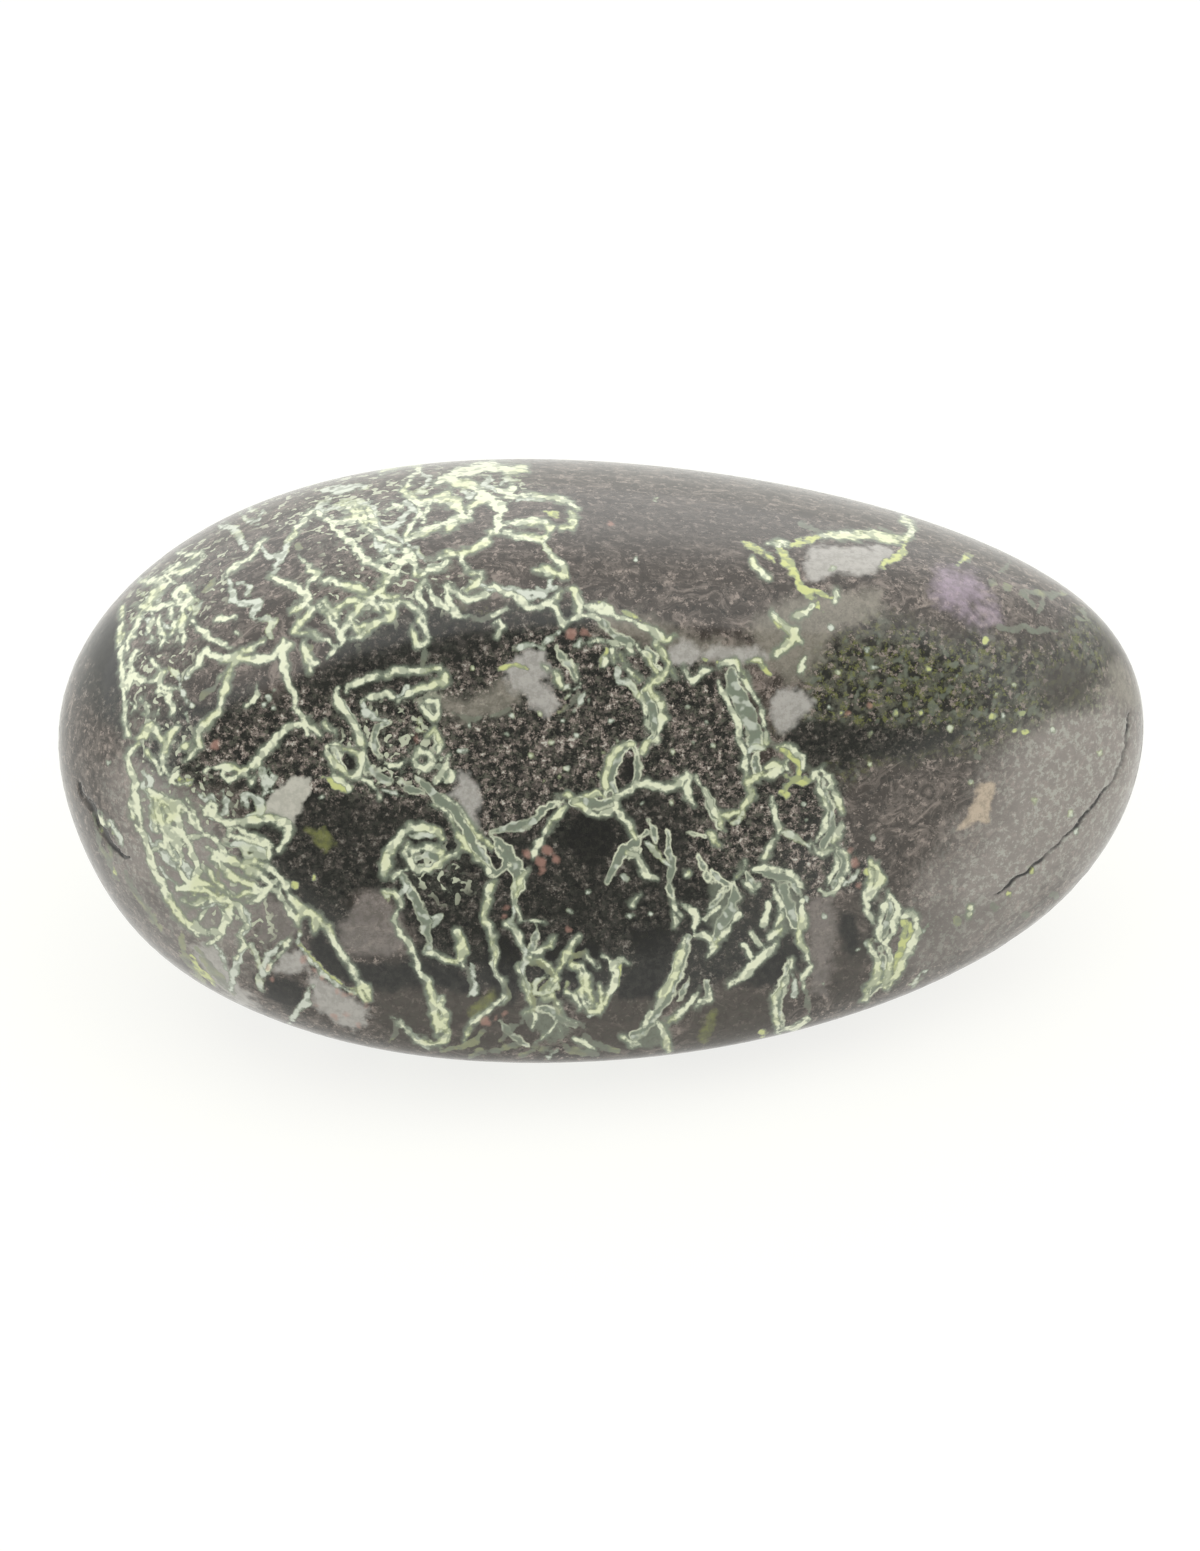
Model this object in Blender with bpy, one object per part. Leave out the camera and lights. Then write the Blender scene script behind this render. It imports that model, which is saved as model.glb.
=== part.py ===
"""Kambaba jasper tumbled stone.

A single stone, rounded and polished by tumbling. It is blunt at its left end and narrower at its right
end, with broad soft faces between rounded edges, and it rests on a small flat spot on its underside.
"""

import math

import bmesh
import bpy
from mathutils import Vector

MM = 0.001

# The rounded body that the soft faces are worn on
HALF_LENGTH = 19.5 * MM
HALF_DEPTH = 11.0 * MM
HALF_HEIGHT = 10.6 * MM

# How crisply the soft faces meet the body and each other: higher is crisper
EDGE_CRISPNESS = 6.0

# The worn faces: the side each one looks to, in degrees from the front towards the right and then
# upwards, and how far it lies from the stone's middle
SOFT_FACES = {
    "broad front": (6, 25, 5.7 * MM),
    "right of the broad front": (28, 9, 9.1 * MM),
    "lower left": (-39, -4, 12.6 * MM),
    "top, falling to the back": (160, 74, 9.1 * MM),
    "under the front": (-11, -65, 10.8 * MM),
    "left end": (-107, -21, 15.6 * MM),
    "back of the left shoulder": (-116, 58, 12.8 * MM),
    "left shoulder": (-69, 57, 13.4 * MM),
    "underside": (0, -87, 8.3 * MM),
}

# The small flat spot that the stone rests on is worn to this depth
REST_SPOT_DEPTH = 0.15 * MM

# How finely the surface is stepped: each step halves the width of its triangles
SURFACE_STEPS = 5

STONE_COLOUR = (0.036, 0.034, 0.028, 1.0)
STONE_ROUGHNESS = 0.22


def side(turn, rise):
    """The direction that looks turn degrees right of the front and rise degrees up."""
    turn, rise = math.radians(turn), math.radians(rise)
    return Vector(
        (math.sin(turn) * math.cos(rise), -math.cos(turn) * math.cos(rise), math.sin(rise))
    )


FACE_SIDES = [(side(turn, rise), distance) for turn, rise, distance in SOFT_FACES.values()]


def reach(direction):
    """How far the surface lies from the stone's middle along a direction of length one."""
    body = math.hypot(
        direction.x / HALF_LENGTH,
        direction.y / HALF_DEPTH,
        direction.z / HALF_HEIGHT,
    )
    total = body**EDGE_CRISPNESS
    for face_side, distance in FACE_SIDES:
        total += (max(0.0, direction.dot(face_side)) / distance) ** EDGE_CRISPNESS
    return total ** (-1.0 / EDGE_CRISPNESS)


def clear_scene():
    for old in list(bpy.data.objects):
        bpy.data.objects.remove(old)


def stone_material():
    material = bpy.data.materials.new("Polished jasper")
    material.use_nodes = True
    shader = material.node_tree.nodes["Principled BSDF"]
    shader.inputs["Base Color"].default_value = STONE_COLOUR
    shader.inputs["Roughness"].default_value = STONE_ROUGHNESS
    shader.inputs["Metallic"].default_value = 0.0
    material.diffuse_color = STONE_COLOUR
    return material


def cut_rest_spot(form):
    """Cuts the underside flat, just above its lowest point, and returns the height of the cut."""
    level = min(vert.co.z for vert in form.verts) + REST_SPOT_DEPTH
    everything = form.verts[:] + form.edges[:] + form.faces[:]
    bmesh.ops.bisect_plane(
        form,
        geom=everything,
        plane_co=(0.0, 0.0, level),
        plane_no=(0.0, 0.0, 1.0),
        clear_inner=True,
    )
    rim = [edge for edge in form.edges if edge.is_boundary]
    bmesh.ops.contextual_create(form, geom=rim)
    return level


def centre_over_origin(form, level):
    """Moves the stone so that its flat spot is at height zero and its middle is over the origin."""
    left = min(vert.co.x for vert in form.verts)
    right = max(vert.co.x for vert in form.verts)
    front = min(vert.co.y for vert in form.verts)
    back = max(vert.co.y for vert in form.verts)
    shift = Vector((-(left + right) / 2, -(front + back) / 2, -level))
    bmesh.ops.translate(form, vec=shift, verts=form.verts[:])


def make_stone(collection):
    form = bmesh.new()
    bmesh.ops.create_icosphere(form, subdivisions=SURFACE_STEPS, radius=1.0)
    for vert in form.verts:
        vert.co *= reach(vert.co.normalized())
    level = cut_rest_spot(form)
    centre_over_origin(form, level)
    bmesh.ops.recalc_face_normals(form, faces=form.faces[:])

    mesh = bpy.data.meshes.new("stone")
    form.to_mesh(mesh)
    form.free()
    mesh.materials.append(stone_material())
    mesh.shade_smooth()
    stone = bpy.data.objects.new("stone", mesh)
    collection.objects.link(stone)
    return stone


def main():
    clear_scene()
    collection = bpy.data.collections.new("Kambaba jasper tumbled stone")
    bpy.context.scene.collection.children.link(collection)
    make_stone(collection)


main()
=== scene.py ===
"""The kambaba jasper tumbled stone, dressed: its polished surface, its veins and its grain.

The form is the part's own, in steps fine enough to carry the veins. The veins, patches and spots were
drawn as courses and outlines in pixels of the 1200 x 1551 frame. They are laid on the stone
from the camera's side, and run on through it, because a vein in a stone is a sheet.
"""

import math

import bmesh
import bpy
import numpy as np
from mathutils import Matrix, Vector, noise


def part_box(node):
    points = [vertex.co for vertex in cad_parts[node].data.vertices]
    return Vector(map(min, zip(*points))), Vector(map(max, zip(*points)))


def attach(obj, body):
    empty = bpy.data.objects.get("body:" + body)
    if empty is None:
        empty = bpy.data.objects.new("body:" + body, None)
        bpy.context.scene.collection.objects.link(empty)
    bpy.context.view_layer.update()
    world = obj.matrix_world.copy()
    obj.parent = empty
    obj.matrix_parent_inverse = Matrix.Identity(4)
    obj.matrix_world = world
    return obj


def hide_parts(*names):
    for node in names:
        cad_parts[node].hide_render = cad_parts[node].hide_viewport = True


bl_info = {
    "name": "Kambaba jasper tumbled stone",
    "version": (1, 0, 0),
    "blender": (4, 5, 0),
    "location": "View3D > Sidebar > Stone",
    "description": "Models one tumbled stone of dark jasper, with its veins, and a pale stage for it",
    "category": "Add Mesh",
}

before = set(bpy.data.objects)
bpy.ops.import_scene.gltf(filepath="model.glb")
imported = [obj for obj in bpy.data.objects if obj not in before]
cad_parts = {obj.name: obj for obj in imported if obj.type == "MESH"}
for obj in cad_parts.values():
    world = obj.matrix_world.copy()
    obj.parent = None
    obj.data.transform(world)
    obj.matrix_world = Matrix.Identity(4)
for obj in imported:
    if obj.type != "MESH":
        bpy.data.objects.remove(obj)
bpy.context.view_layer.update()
NODE = "stone"

MM = 0.001

# The rounded body and the soft faces worn on it, in millimetres, as in the part's source
BODY = np.array((19.5, 11.0, 10.6))
EDGE_CRISPNESS = 6.0
SOFT_FACES = {
    "broad front": (6, 25, 5.7),
    "right of the broad front": (28, 9, 9.1),
    "lower left": (-39, -4, 12.6),
    "top, falling to the back": (160, 74, 9.1),
    "under the front": (-11, -65, 10.8),
    "left end": (-107, -21, 15.6),
    "back of the left shoulder": (-116, 58, 12.8),
    "left shoulder": (-69, 57, 13.4),
    "underside": (0, -87, 8.3),
}
REST_SPOT_DEPTH = 0.15
ORIGIN = np.array((1.535, 1.59, -7.86))  # the frame's origin, from the stone's middle

# The frame of the photograph, and where the stone's middle shows in it
FRAME_SIZE = np.array((1200.0, 1551.0))
STONE_MIDDLE = np.array((552.5, 767.4))
PIXELS_PER_MM = 32.0
CAMERA_RISE = 40.0  # degrees above level
CAMERA_DISTANCE = 600.0  # mm, far enough for a long lens
SENSOR = 36.0  # mm, along the long side of the frame

# How the drawn pattern drifts where it runs on through the stone to the sides that the camera misses
DRIFT_SCALE = 0.16  # per mm
DRIFT = 75.0  # pixels
DRIFT_LEAN = np.array((60.0, -35.0))  # pixels

# Blender's noise starts from the clock unless it is given a number, so this keeps every run the same
PATTERN_SEED = 7

# How finely the drawn pattern is crinkled everywhere
CRINKLE_SCALE = 2.6  # per mm
CRINKLE = 2.6  # pixels

# How a drawn line is measured: how far round it, and how it thins out at its ends
REACH = 14.0  # pixels
TAPER = 5.0  # half widths
THIN_END = 0.45  # of its width
FAR = 200.0  # pixels, for a patch that is nowhere near
SPOT_SIZE = 0.8  # of the radius that is written down

# How the mesh is stepped: evenly at first, then along the rims of veins and patches
FIRST_STEPS = 6
ROUNDS_OF_STEPS = 3
FORESHORTENING = 0.5  # an edge seen end on counts as this share of its real length
NEAR_A_RIM = 0.62  # an edge is split where a rim lies within this share of its length

# Kinds of vein and spot
PALE, RIBBON, MILKY, LIME, DULL = "pale", "ribbon", "milky", "lime", "dull"
KINDS = (PALE, RIBBON, MILKY, LIME, DULL)

# Veins: each is its kind, half its width and its course, in pixels
VEINS = {
    "left flank, upper cluster": (
        (PALE, 2.2, (127, 760), (134, 776), (133, 790), (136, 804), (138, 818), (143, 832)),
        (PALE, 3.6, (145, 790), (158, 797), (170, 802), (176, 814), (178, 828), (176, 840), (182, 856)),
        (PALE, 2.6, (155, 797), (157, 813), (163, 833), (167, 847), (175, 860)),
        (PALE, 2.6, (188, 838), (202, 835), (217, 840), (226, 854)),
        (PALE, 3.0, (203, 810), (216, 816), (227, 823), (247, 821), (267, 818), (288, 825), (286, 840),
         (277, 850)),
        (MILKY, 4.4, (236, 836), (252, 846), (264, 854), (248, 858), (240, 848)),
        (PALE, 2.8, (213, 857), (227, 873), (243, 883), (260, 889), (273, 886)),
        (PALE, 3.0, (177, 887), (190, 888), (200, 882), (214, 886)),
        (PALE, 2.0, (193, 872), (192, 884), (193, 895)),
        (MILKY, 2.2, (152, 846), (160, 850), (168, 862), (180, 872), (186, 884)),
        (PALE, 2.2, (205, 868), (212, 880), (222, 888), (230, 896)),
        (PALE, 2.0, (236, 896), (250, 892), (262, 888)),
        (PALE, 2.0, (186, 800), (192, 812), (196, 824), (202, 832)),
        (MILKY, 2.6, (196, 792), (204, 800), (212, 796), (216, 804)),
        (PALE, 2.0, (168, 780), (180, 784), (190, 782)),
        (MILKY, 2.2, (160, 866), (166, 878), (176, 886)),
    ),
    "left flank, lower cluster": (
        (PALE, 2.4, (227, 900), (239, 907), (245, 920), (242, 931)),
        (PALE, 2.6, (207, 907), (200, 917), (193, 927), (207, 933), (220, 932), (227, 920), (220, 909)),
        (MILKY, 4.0, (240, 933), (243, 946), (238, 960), (231, 976), (230, 990)),
        (MILKY, 2.2, (250, 947), (259, 962), (262, 977), (260, 990)),
        (PALE, 2.0, (290, 940), (278, 955), (266, 970)),
        (LIME, 1.6, (297, 933), (301, 947), (314, 963), (328, 976), (347, 986), (362, 992)),
        (MILKY, 1.6, (300, 948), (313, 965), (327, 979), (347, 990)),
        (MILKY, 3.0, (308, 985), (306, 1000), (294, 1015), (289, 1023)),
        (DULL, 2.6, (196, 948), (206, 964), (220, 980), (234, 994)),
        (LIME, 1.8, (190, 955), (200, 970), (214, 984)),
        (PALE, 2.0, (180, 900), (190, 905), (200, 902), (210, 896)),
        (MILKY, 1.8, (214, 944), (222, 956), (226, 968)),
        (LIME, 2.0, (96, 813), (98, 824), (101, 834)),
        (MILKY, 2.2, (108, 822), (116, 832), (120, 844)),
        (DULL, 2.4, (100, 846), (108, 862), (116, 880)),
        (DULL, 2.2, (124, 872), (134, 892), (148, 912), (160, 928)),
    ),
    "lower middle, finer": (
        (MILKY, 2.4, (400, 877), (407, 887), (398, 897), (387, 890)),
        (RIBBON, 4.0, (410, 897), (420, 913), (427, 930), (428, 947), (425, 955)),
        (MILKY, 2.6, (430, 917), (440, 917), (433, 927)),
        (PALE, 1.8, (458, 930), (460, 947), (463, 962), (447, 959), (427, 952)),
        (DULL, 2.4, (463, 963), (472, 980), (473, 994)),
        (PALE, 1.6, (493, 883), (488, 900), (485, 917), (490, 933), (494, 953), (495, 970), (503, 983)),
        (MILKY, 2.6, (515, 880), (517, 897), (512, 910), (510, 923), (520, 940), (527, 953), (523, 970),
         (527, 987), (530, 1007)),
        (PALE, 1.3, (527, 920), (543, 922)),
        (PALE, 1.8, (570, 967), (583, 966), (587, 980), (590, 994), (598, 1010)),
        (PALE, 3.2, (610, 960), (616, 974), (612, 988), (604, 1004)),
        (PALE, 1.8, (587, 982), (580, 994), (588, 1010), (600, 1013)),
        (RIBBON, 5.0, (532, 1010), (546, 1008), (560, 1018), (576, 1026)),
        (MILKY, 2.4, (537, 980), (550, 977), (557, 987), (544, 993), (534, 992), (537, 980)),
        (PALE, 1.8, (463, 1040), (473, 1023), (487, 1012), (503, 997)),
        (PALE, 1.9, (393, 1018), (403, 1028), (417, 1040), (430, 1046), (443, 1042), (447, 1032)),
        (MILKY, 3.4, (440, 998), (443, 1014), (438, 1030), (434, 1008), (440, 998)),
        (RIBBON, 3.4, (500, 1022), (512, 1036), (528, 1046)),
    ),
    "swirl above the middle": (
        (MILKY, 2.2, (512, 650), (528, 644), (544, 648)),
        (DULL, 2.4, (560, 712), (572, 704), (578, 692)),
        (LIME, 1.8, (500, 668), (516, 664), (528, 668)),
        (DULL, 1.6, (452, 712), (470, 720), (492, 716), (512, 706)),
    ),
    "fillings of the wide loops": (
        (RIBBON, 7.0, (630, 743), (618, 754), (612, 768), (610, 784), (605, 796)),
        (RIBBON, 7.0, (572, 802), (588, 803), (602, 804), (616, 798)),
        (RIBBON, 6.0, (648, 696), (651, 710), (654, 724)),
        (LIME, 4.4, (788, 752), (797, 762), (801, 774)),
        (LIME, 4.4, (806, 776), (794, 780), (782, 792)),
    ),
    "left flank, bright masses": (
        (PALE, 2.6, (164, 806), (170, 816), (166, 828), (173, 840), (178, 856)),
        (PALE, 4.6, (172, 834), (176, 846), (178, 854)),
        (PALE, 2.0, (152, 806), (153, 820), (157, 832)),
        (PALE, 2.4, (150, 851), (160, 846), (172, 850)),
        (PALE, 3.0, (180, 858), (177, 868), (184, 877), (192, 887), (206, 893)),
        (PALE, 4.0, (178, 889), (188, 885), (196, 880)),
        (MILKY, 6.0, (232, 843), (244, 848), (258, 848), (266, 854)),
        (PALE, 2.4, (226, 834), (240, 838), (256, 842), (268, 847), (268, 858)),
        (PALE, 2.6, (205, 846), (214, 852), (224, 860), (238, 865), (252, 869), (263, 877)),
        (PALE, 2.6, (200, 905), (212, 900), (226, 900), (236, 905), (243, 915), (247, 928)),
        (PALE, 2.4, (226, 910), (222, 924), (214, 934), (204, 929)),
        (MILKY, 3.0, (142, 772), (150, 781), (146, 795)),
        (PALE, 2.8, (150, 794), (164, 799), (178, 804), (186, 813)),
        (PALE, 2.0, (164, 766), (170, 779), (166, 788)),
        (LIME, 5.0, (181, 782), (189, 783)),
        (PALE, 4.4, (206, 808), (214, 813)),
        (MILKY, 5.6, (241, 797), (247, 804)),
        (MILKY, 3.2, (258, 769), (262, 780), (270, 785), (275, 777), (268, 770)),
        (MILKY, 3.0, (262, 796), (272, 791)),
        (MILKY, 5.0, (243, 583), (251, 586)),
        (MILKY, 3.8, (262, 547), (270, 558), (279, 556), (286, 544)),
        (MILKY, 2.6, (138, 590), (147, 597), (156, 600), (160, 592)),
        (MILKY, 2.0, (130, 620), (140, 615), (150, 622), (146, 634)),
        (MILKY, 2.0, (160, 620), (170, 628), (182, 622)),
        (MILKY, 2.2, (186, 598), (194, 608), (202, 600)),
        (PALE, 2.0, (136, 650), (128, 664), (136, 676), (150, 680)),
    ),
    "upper middle, bright masses": (
        (PALE, 3.8, (440, 477), (456, 481), (472, 484), (486, 494), (496, 506), (500, 520)),
        (PALE, 3.6, (462, 476), (476, 470), (492, 467), (510, 466)),
        (MILKY, 4.1, (484, 486), (496, 488), (506, 492)),
        (PALE, 2.1, (500, 498), (516, 495), (532, 495), (548, 497), (562, 498), (574, 504)),
        (PALE, 3.0, (568, 510), (575, 517), (571, 526), (560, 529)),
        (PALE, 2.0, (406, 541), (425, 528), (447, 522), (462, 512), (460, 500), (444, 497), (430, 502),
         (425, 514), (420, 528)),
        (PALE, 3.0, (380, 471), (394, 464), (408, 461), (420, 464)),
        (MILKY, 3.0, (320, 511), (340, 504), (358, 500), (374, 506), (373, 520), (388, 530), (400, 520),
         (412, 506)),
        (PALE, 2.3, (340, 504), (352, 510), (362, 522), (372, 532), (386, 540), (400, 545)),
        (PALE, 1.6, (330, 610), (350, 601), (370, 598), (390, 605), (384, 619), (360, 626)),
        (MILKY, 2.8, (470, 580), (490, 589), (514, 590), (532, 592), (556, 588)),
        (MILKY, 3.8, (518, 594), (532, 598), (544, 592)),
        (PALE, 3.4, (540, 567), (552, 572), (562, 577)),
        (PALE, 1.6, (400, 560), (396, 572), (380, 580), (374, 592)),
        (MILKY, 2.1, (418, 470), (430, 478), (424, 490), (410, 492)),
        (MILKY, 2.1, (520, 480), (508, 476), (500, 484)),
    ),
    "junction at the left point": (
        (PALE, 4.4, (284, 903), (290, 913), (297, 921), (301, 913)),
        (PALE, 3.4, (272, 888), (279, 897), (286, 904)),
    ),
    "left boundary": (
        (PALE, 2.2, (121, 606), (120, 640), (121, 662), (122, 682), (124, 703), (124, 722), (127, 737)),
        (PALE, 2.2, (138, 745), (130, 749), (126, 755), (127, 766), (131, 775), (135, 783), (134, 791)),
        (PALE, 3.0, (134, 824), (143, 835), (147, 848), (150, 862), (157, 875), (163, 888), (168, 900),
         (175, 912), (184, 921), (192, 929), (197, 936)),
        (DULL, 2.0, (181, 932), (181, 945), (184, 958), (192, 967), (197, 975), (205, 984)),
    ),
    "upper left corner net": (
        (PALE, 3.2, (140, 580), (150, 581), (160, 579), (164, 584), (154, 592), (148, 600), (152, 610)),
        (PALE, 2.8, (172, 582), (165, 574), (171, 567), (178, 563)),
        (PALE, 3.2, (165, 574), (176, 573), (187, 569), (196, 565)),
        (PALE, 2.4, (178, 552), (190, 555), (202, 553)),
        (PALE, 3.0, (175, 596), (177, 588), (183, 586), (188, 592), (190, 598), (185, 605), (178, 602),
         (175, 596)),
        (MILKY, 2.4, (190, 598), (198, 598)),
        (MILKY, 3.2, (198, 603), (195, 613)),
        (PALE, 2.5, (186, 605), (190, 609)),
        (PALE, 2.6, (135, 605), (146, 607), (157, 608), (168, 603), (176, 604)),
        (MILKY, 4.0, (219, 525), (230, 526), (236, 530), (240, 538), (245, 547)),
        (MILKY, 5.0, (240, 536), (245, 546)),
        (MILKY, 2.6, (240, 513), (247, 520), (257, 520), (262, 512)),
        (MILKY, 2.4, (248, 508), (257, 510)),
        (PALE, 2.3, (263, 539), (256, 547), (248, 557), (240, 563), (231, 569), (225, 576)),
        (MILKY, 3.6, (226, 577), (229, 584), (231, 592), (234, 601), (241, 603), (250, 602), (258, 601),
         (256, 608), (252, 616)),
        (MILKY, 3.4, (237, 583), (245, 584), (251, 588), (247, 594)),
        (PALE, 2.5, (214, 619), (223, 618), (232, 617)),
        (PALE, 2.3, (192, 620), (199, 628), (207, 634), (214, 640), (224, 644), (229, 648)),
        (PALE, 3.4, (235, 633), (237, 634)),
        (MILKY, 3.4, (258, 619), (267, 617), (273, 620), (268, 628), (270, 638)),
        (DULL, 1.8, (214, 579), (208, 587), (203, 593)),
        (PALE, 3.0, (170, 606), (171, 617), (174, 627), (171, 635)),
        (PALE, 2.0, (141, 612), (137, 622), (133, 632), (127, 640), (125, 652)),
        (MILKY, 2.6, (144, 641), (150, 643)),
        (PALE, 1.8, (150, 610), (153, 620), (148, 630), (152, 640)),
        (PALE, 1.8, (160, 612), (158, 624), (162, 636), (160, 648)),
        (PALE, 2.0, (180, 607), (183, 617), (180, 627), (184, 636), (181, 648)),
        (PALE, 2.0, (122, 660), (128, 668), (133, 676), (141, 680), (150, 680), (158, 676), (161, 670),
         (155, 664), (150, 659)),
        (PALE, 2.2, (128, 668), (129, 680), (124, 690)),
        (PALE, 2.2, (161, 672), (158, 681), (158, 690), (167, 691), (169, 700), (173, 709), (171, 713)),
        (PALE, 2.0, (158, 681), (166, 687), (176, 687)),
        (MILKY, 2.3, (168, 666), (174, 673), (179, 680), (179, 689), (184, 697), (191, 706)),
        (MILKY, 2.6, (186, 677), (189, 670), (197, 667)),
        (PALE, 3.0, (188, 672), (197, 666), (200, 656), (205, 649), (213, 655), (224, 657), (237, 657),
         (250, 659), (262, 659), (274, 657), (280, 649), (283, 641)),
        (PALE, 2.0, (237, 657), (243, 650), (252, 646), (262, 641)),
        (PALE, 2.4, (238, 661), (230, 669), (221, 678)),
        (PALE, 3.8, (229, 672), (226, 685), (222, 694), (220, 705)),
        (DULL, 1.8, (222, 676), (212, 688), (204, 692), (198, 700)),
        (PALE, 2.3, (220, 705), (218, 713), (210, 720), (203, 726), (197, 731), (196, 738), (198, 745),
         (192, 754), (184, 761)),
        (PALE, 3.2, (254, 685), (257, 693), (252, 701), (246, 706)),
        (MILKY, 2.0, (186, 712), (187, 722)),
        (PALE, 2.2, (134, 739), (142, 735), (147, 726), (151, 725), (156, 733), (160, 738)),
        (PALE, 2.2, (177, 727), (169, 734), (166, 742), (163, 751), (160, 758), (163, 767), (170, 776)),
        (PALE, 1.8, (157, 705), (157, 714)),
        (PALE, 1.8, (141, 700), (147, 707), (143, 714)),
        (PALE, 1.8, (128, 700), (134, 706), (131, 713)),
        (PALE, 1.8, (145, 750), (150, 757), (155, 765), (160, 773)),
        (LIME, 4.0, (180, 779), (187, 780), (192, 780)),
        (PALE, 2.6, (176, 772), (171, 780), (176, 784)),
        (MILKY, 3.2, (142, 777), (141, 786), (148, 795), (160, 798), (168, 802)),
        (PALE, 3.0, (150, 796), (163, 799), (172, 803), (178, 809), (172, 815), (166, 811)),
        (PALE, 2.6, (180, 804), (186, 811), (190, 820), (196, 829)),
        (PALE, 3.0, (129, 800), (132, 812), (131, 818)),
        (MILKY, 4.0, (150, 800), (153, 812), (152, 824), (157, 832)),
        (MILKY, 3.0, (162, 812), (163, 824), (170, 830)),
        (PALE, 4.4, (172, 828), (176, 840), (180, 856)),
        (PALE, 2.6, (180, 830), (184, 840), (190, 850), (195, 860), (197, 872), (194, 882)),
        (MILKY, 4.0, (143, 832), (152, 845), (162, 845), (170, 852), (179, 862), (187, 872), (192, 882)),
        (MILKY, 4.2, (180, 888), (184, 887)),
        (PALE, 3.0, (192, 882), (198, 889), (206, 891), (213, 897)),
        (PALE, 2.0, (176, 884), (170, 880)),
    ),
    "lower left lines": (
        (PALE, 2.5, (186, 836), (200, 835), (212, 838), (219, 845), (222, 854), (231, 860), (243, 866),
         (254, 873), (264, 878), (273, 884)),
        (RIBBON, 5.5, (222, 842), (236, 845), (252, 845), (266, 850)),
        (PALE, 2.4, (228, 830), (236, 828), (245, 834), (258, 838), (268, 844)),
        (PALE, 2.6, (240, 863), (254, 862), (266, 866), (276, 873), (284, 884), (288, 894)),
        (PALE, 3.6, (283, 886), (290, 898), (300, 907), (311, 914), (315, 921), (313, 932)),
        (PALE, 3.4, (308, 912), (318, 918), (314, 930)),
        (PALE, 2.8, (247, 903), (256, 900), (263, 894), (270, 886), (275, 880)),
        (DULL, 2.0, (218, 858), (219, 872), (217, 884), (216, 895)),
        (MILKY, 3.0, (231, 903), (238, 906), (244, 912), (247, 921), (247, 931), (241, 939)),
        (PALE, 4.4, (240, 936), (243, 943), (239, 952), (236, 958)),
        (MILKY, 2.4, (200, 908), (208, 905), (216, 904), (226, 901), (234, 903)),
        (PALE, 2.8, (229, 905), (229, 914), (223, 921), (221, 931)),
        (PALE, 2.6, (222, 932), (216, 940), (207, 944)),
        (PALE, 2.6, (200, 930), (212, 930), (221, 928)),
        (MILKY, 2.4, (249, 944), (256, 953)),
        (MILKY, 2.6, (283, 942), (275, 949), (268, 956), (264, 964), (267, 972)),
        (MILKY, 2.8, (258, 975), (259, 984), (263, 991)),
        (MILKY, 2.2, (231, 975), (232, 984)),
    ),
    "left end pale marks beside the crack": (
        (PALE, 2.2, (96, 813), (102, 820), (107, 826)),
        (LIME, 2.4, (113, 829), (115, 834)),
        (DULL, 2.0, (95, 822), (98, 836), (99, 850)),
        (DULL, 2.0, (106, 845), (111, 856)),
        (LIME, 2.2, (113, 867), (115, 874)),
    ),
    "middle left: run down from the band": (
        (PALE, 3.2, (283, 641), (281, 652), (283, 666), (287, 679), (290, 689), (296, 697)),
        (PALE, 4.0, (281, 650), (289, 644)),
        (PALE, 2.8, (297, 697), (293, 706), (300, 714), (306, 721), (312, 729), (319, 736)),
        (PALE, 3.2, (304, 718), (306, 727), (307, 735)),
        (PALE, 3.4, (303, 640), (304, 651), (307, 661), (310, 670)),
        (PALE, 4.0, (307, 655), (311, 664), (316, 662)),
        (PALE, 2.8, (345, 641), (334, 648), (327, 657)),
        (PALE, 3.0, (328, 640), (332, 648)),
        (PALE, 3.6, (303, 723), (294, 725), (285, 730), (276, 738), (270, 745), (263, 752), (257, 760),
         (250, 767), (241, 771)),
        (PALE, 3.4, (241, 771), (232, 768), (222, 766), (212, 767), (203, 770)),
        (PALE, 2.6, (222, 767), (222, 775), (227, 781), (235, 778), (241, 771)),
        (PALE, 2.6, (243, 772), (252, 776), (251, 784)),
        (MILKY, 3.0, (263, 770), (268, 780), (266, 790)),
        (PALE, 3.0, (206, 806), (210, 802), (215, 806), (213, 813), (207, 813), (206, 806)),
        (MILKY, 3.6, (239, 800), (244, 794), (252, 795), (258, 800), (262, 806), (256, 815), (247, 817)),
        (PALE, 2.4, (220, 818), (230, 822), (241, 823), (252, 821), (265, 820), (276, 819), (288, 822),
         (290, 829), (284, 836)),
        (MILKY, 2.6, (222, 790), (226, 800), (224, 810), (217, 817), (208, 818)),
        (DULL, 1.8, (226, 800), (232, 806), (235, 814)),
        (PALE, 2.0, (333, 733), (328, 726), (325, 722)),
    ),
    "the angular mark and the ring": (
        (PALE, 3.0, (337, 688), (335, 697), (341, 707), (348, 718), (356, 729), (360, 740), (363, 751)),
        (RIBBON, 5.0, (342, 703), (350, 717), (357, 728)),
        (PALE, 2.4, (346, 692), (347, 685), (356, 683), (365, 678), (380, 675), (396, 671), (414, 670),
         (430, 669), (440, 667)),
        (PALE, 3.2, (440, 667), (444, 675), (447, 682)),
        (PALE, 2.8, (447, 682), (434, 684), (420, 688), (408, 694), (398, 702)),
        (MILKY, 5.5, (406, 686), (400, 696)),
        (PALE, 3.0, (362, 700), (371, 697), (384, 695), (394, 697)),
        (MILKY, 4.0, (363, 702), (366, 713), (374, 718), (385, 718)),
        (RIBBON, 5.0, (388, 722), (376, 728), (373, 740), (376, 751), (380, 757)),
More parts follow.
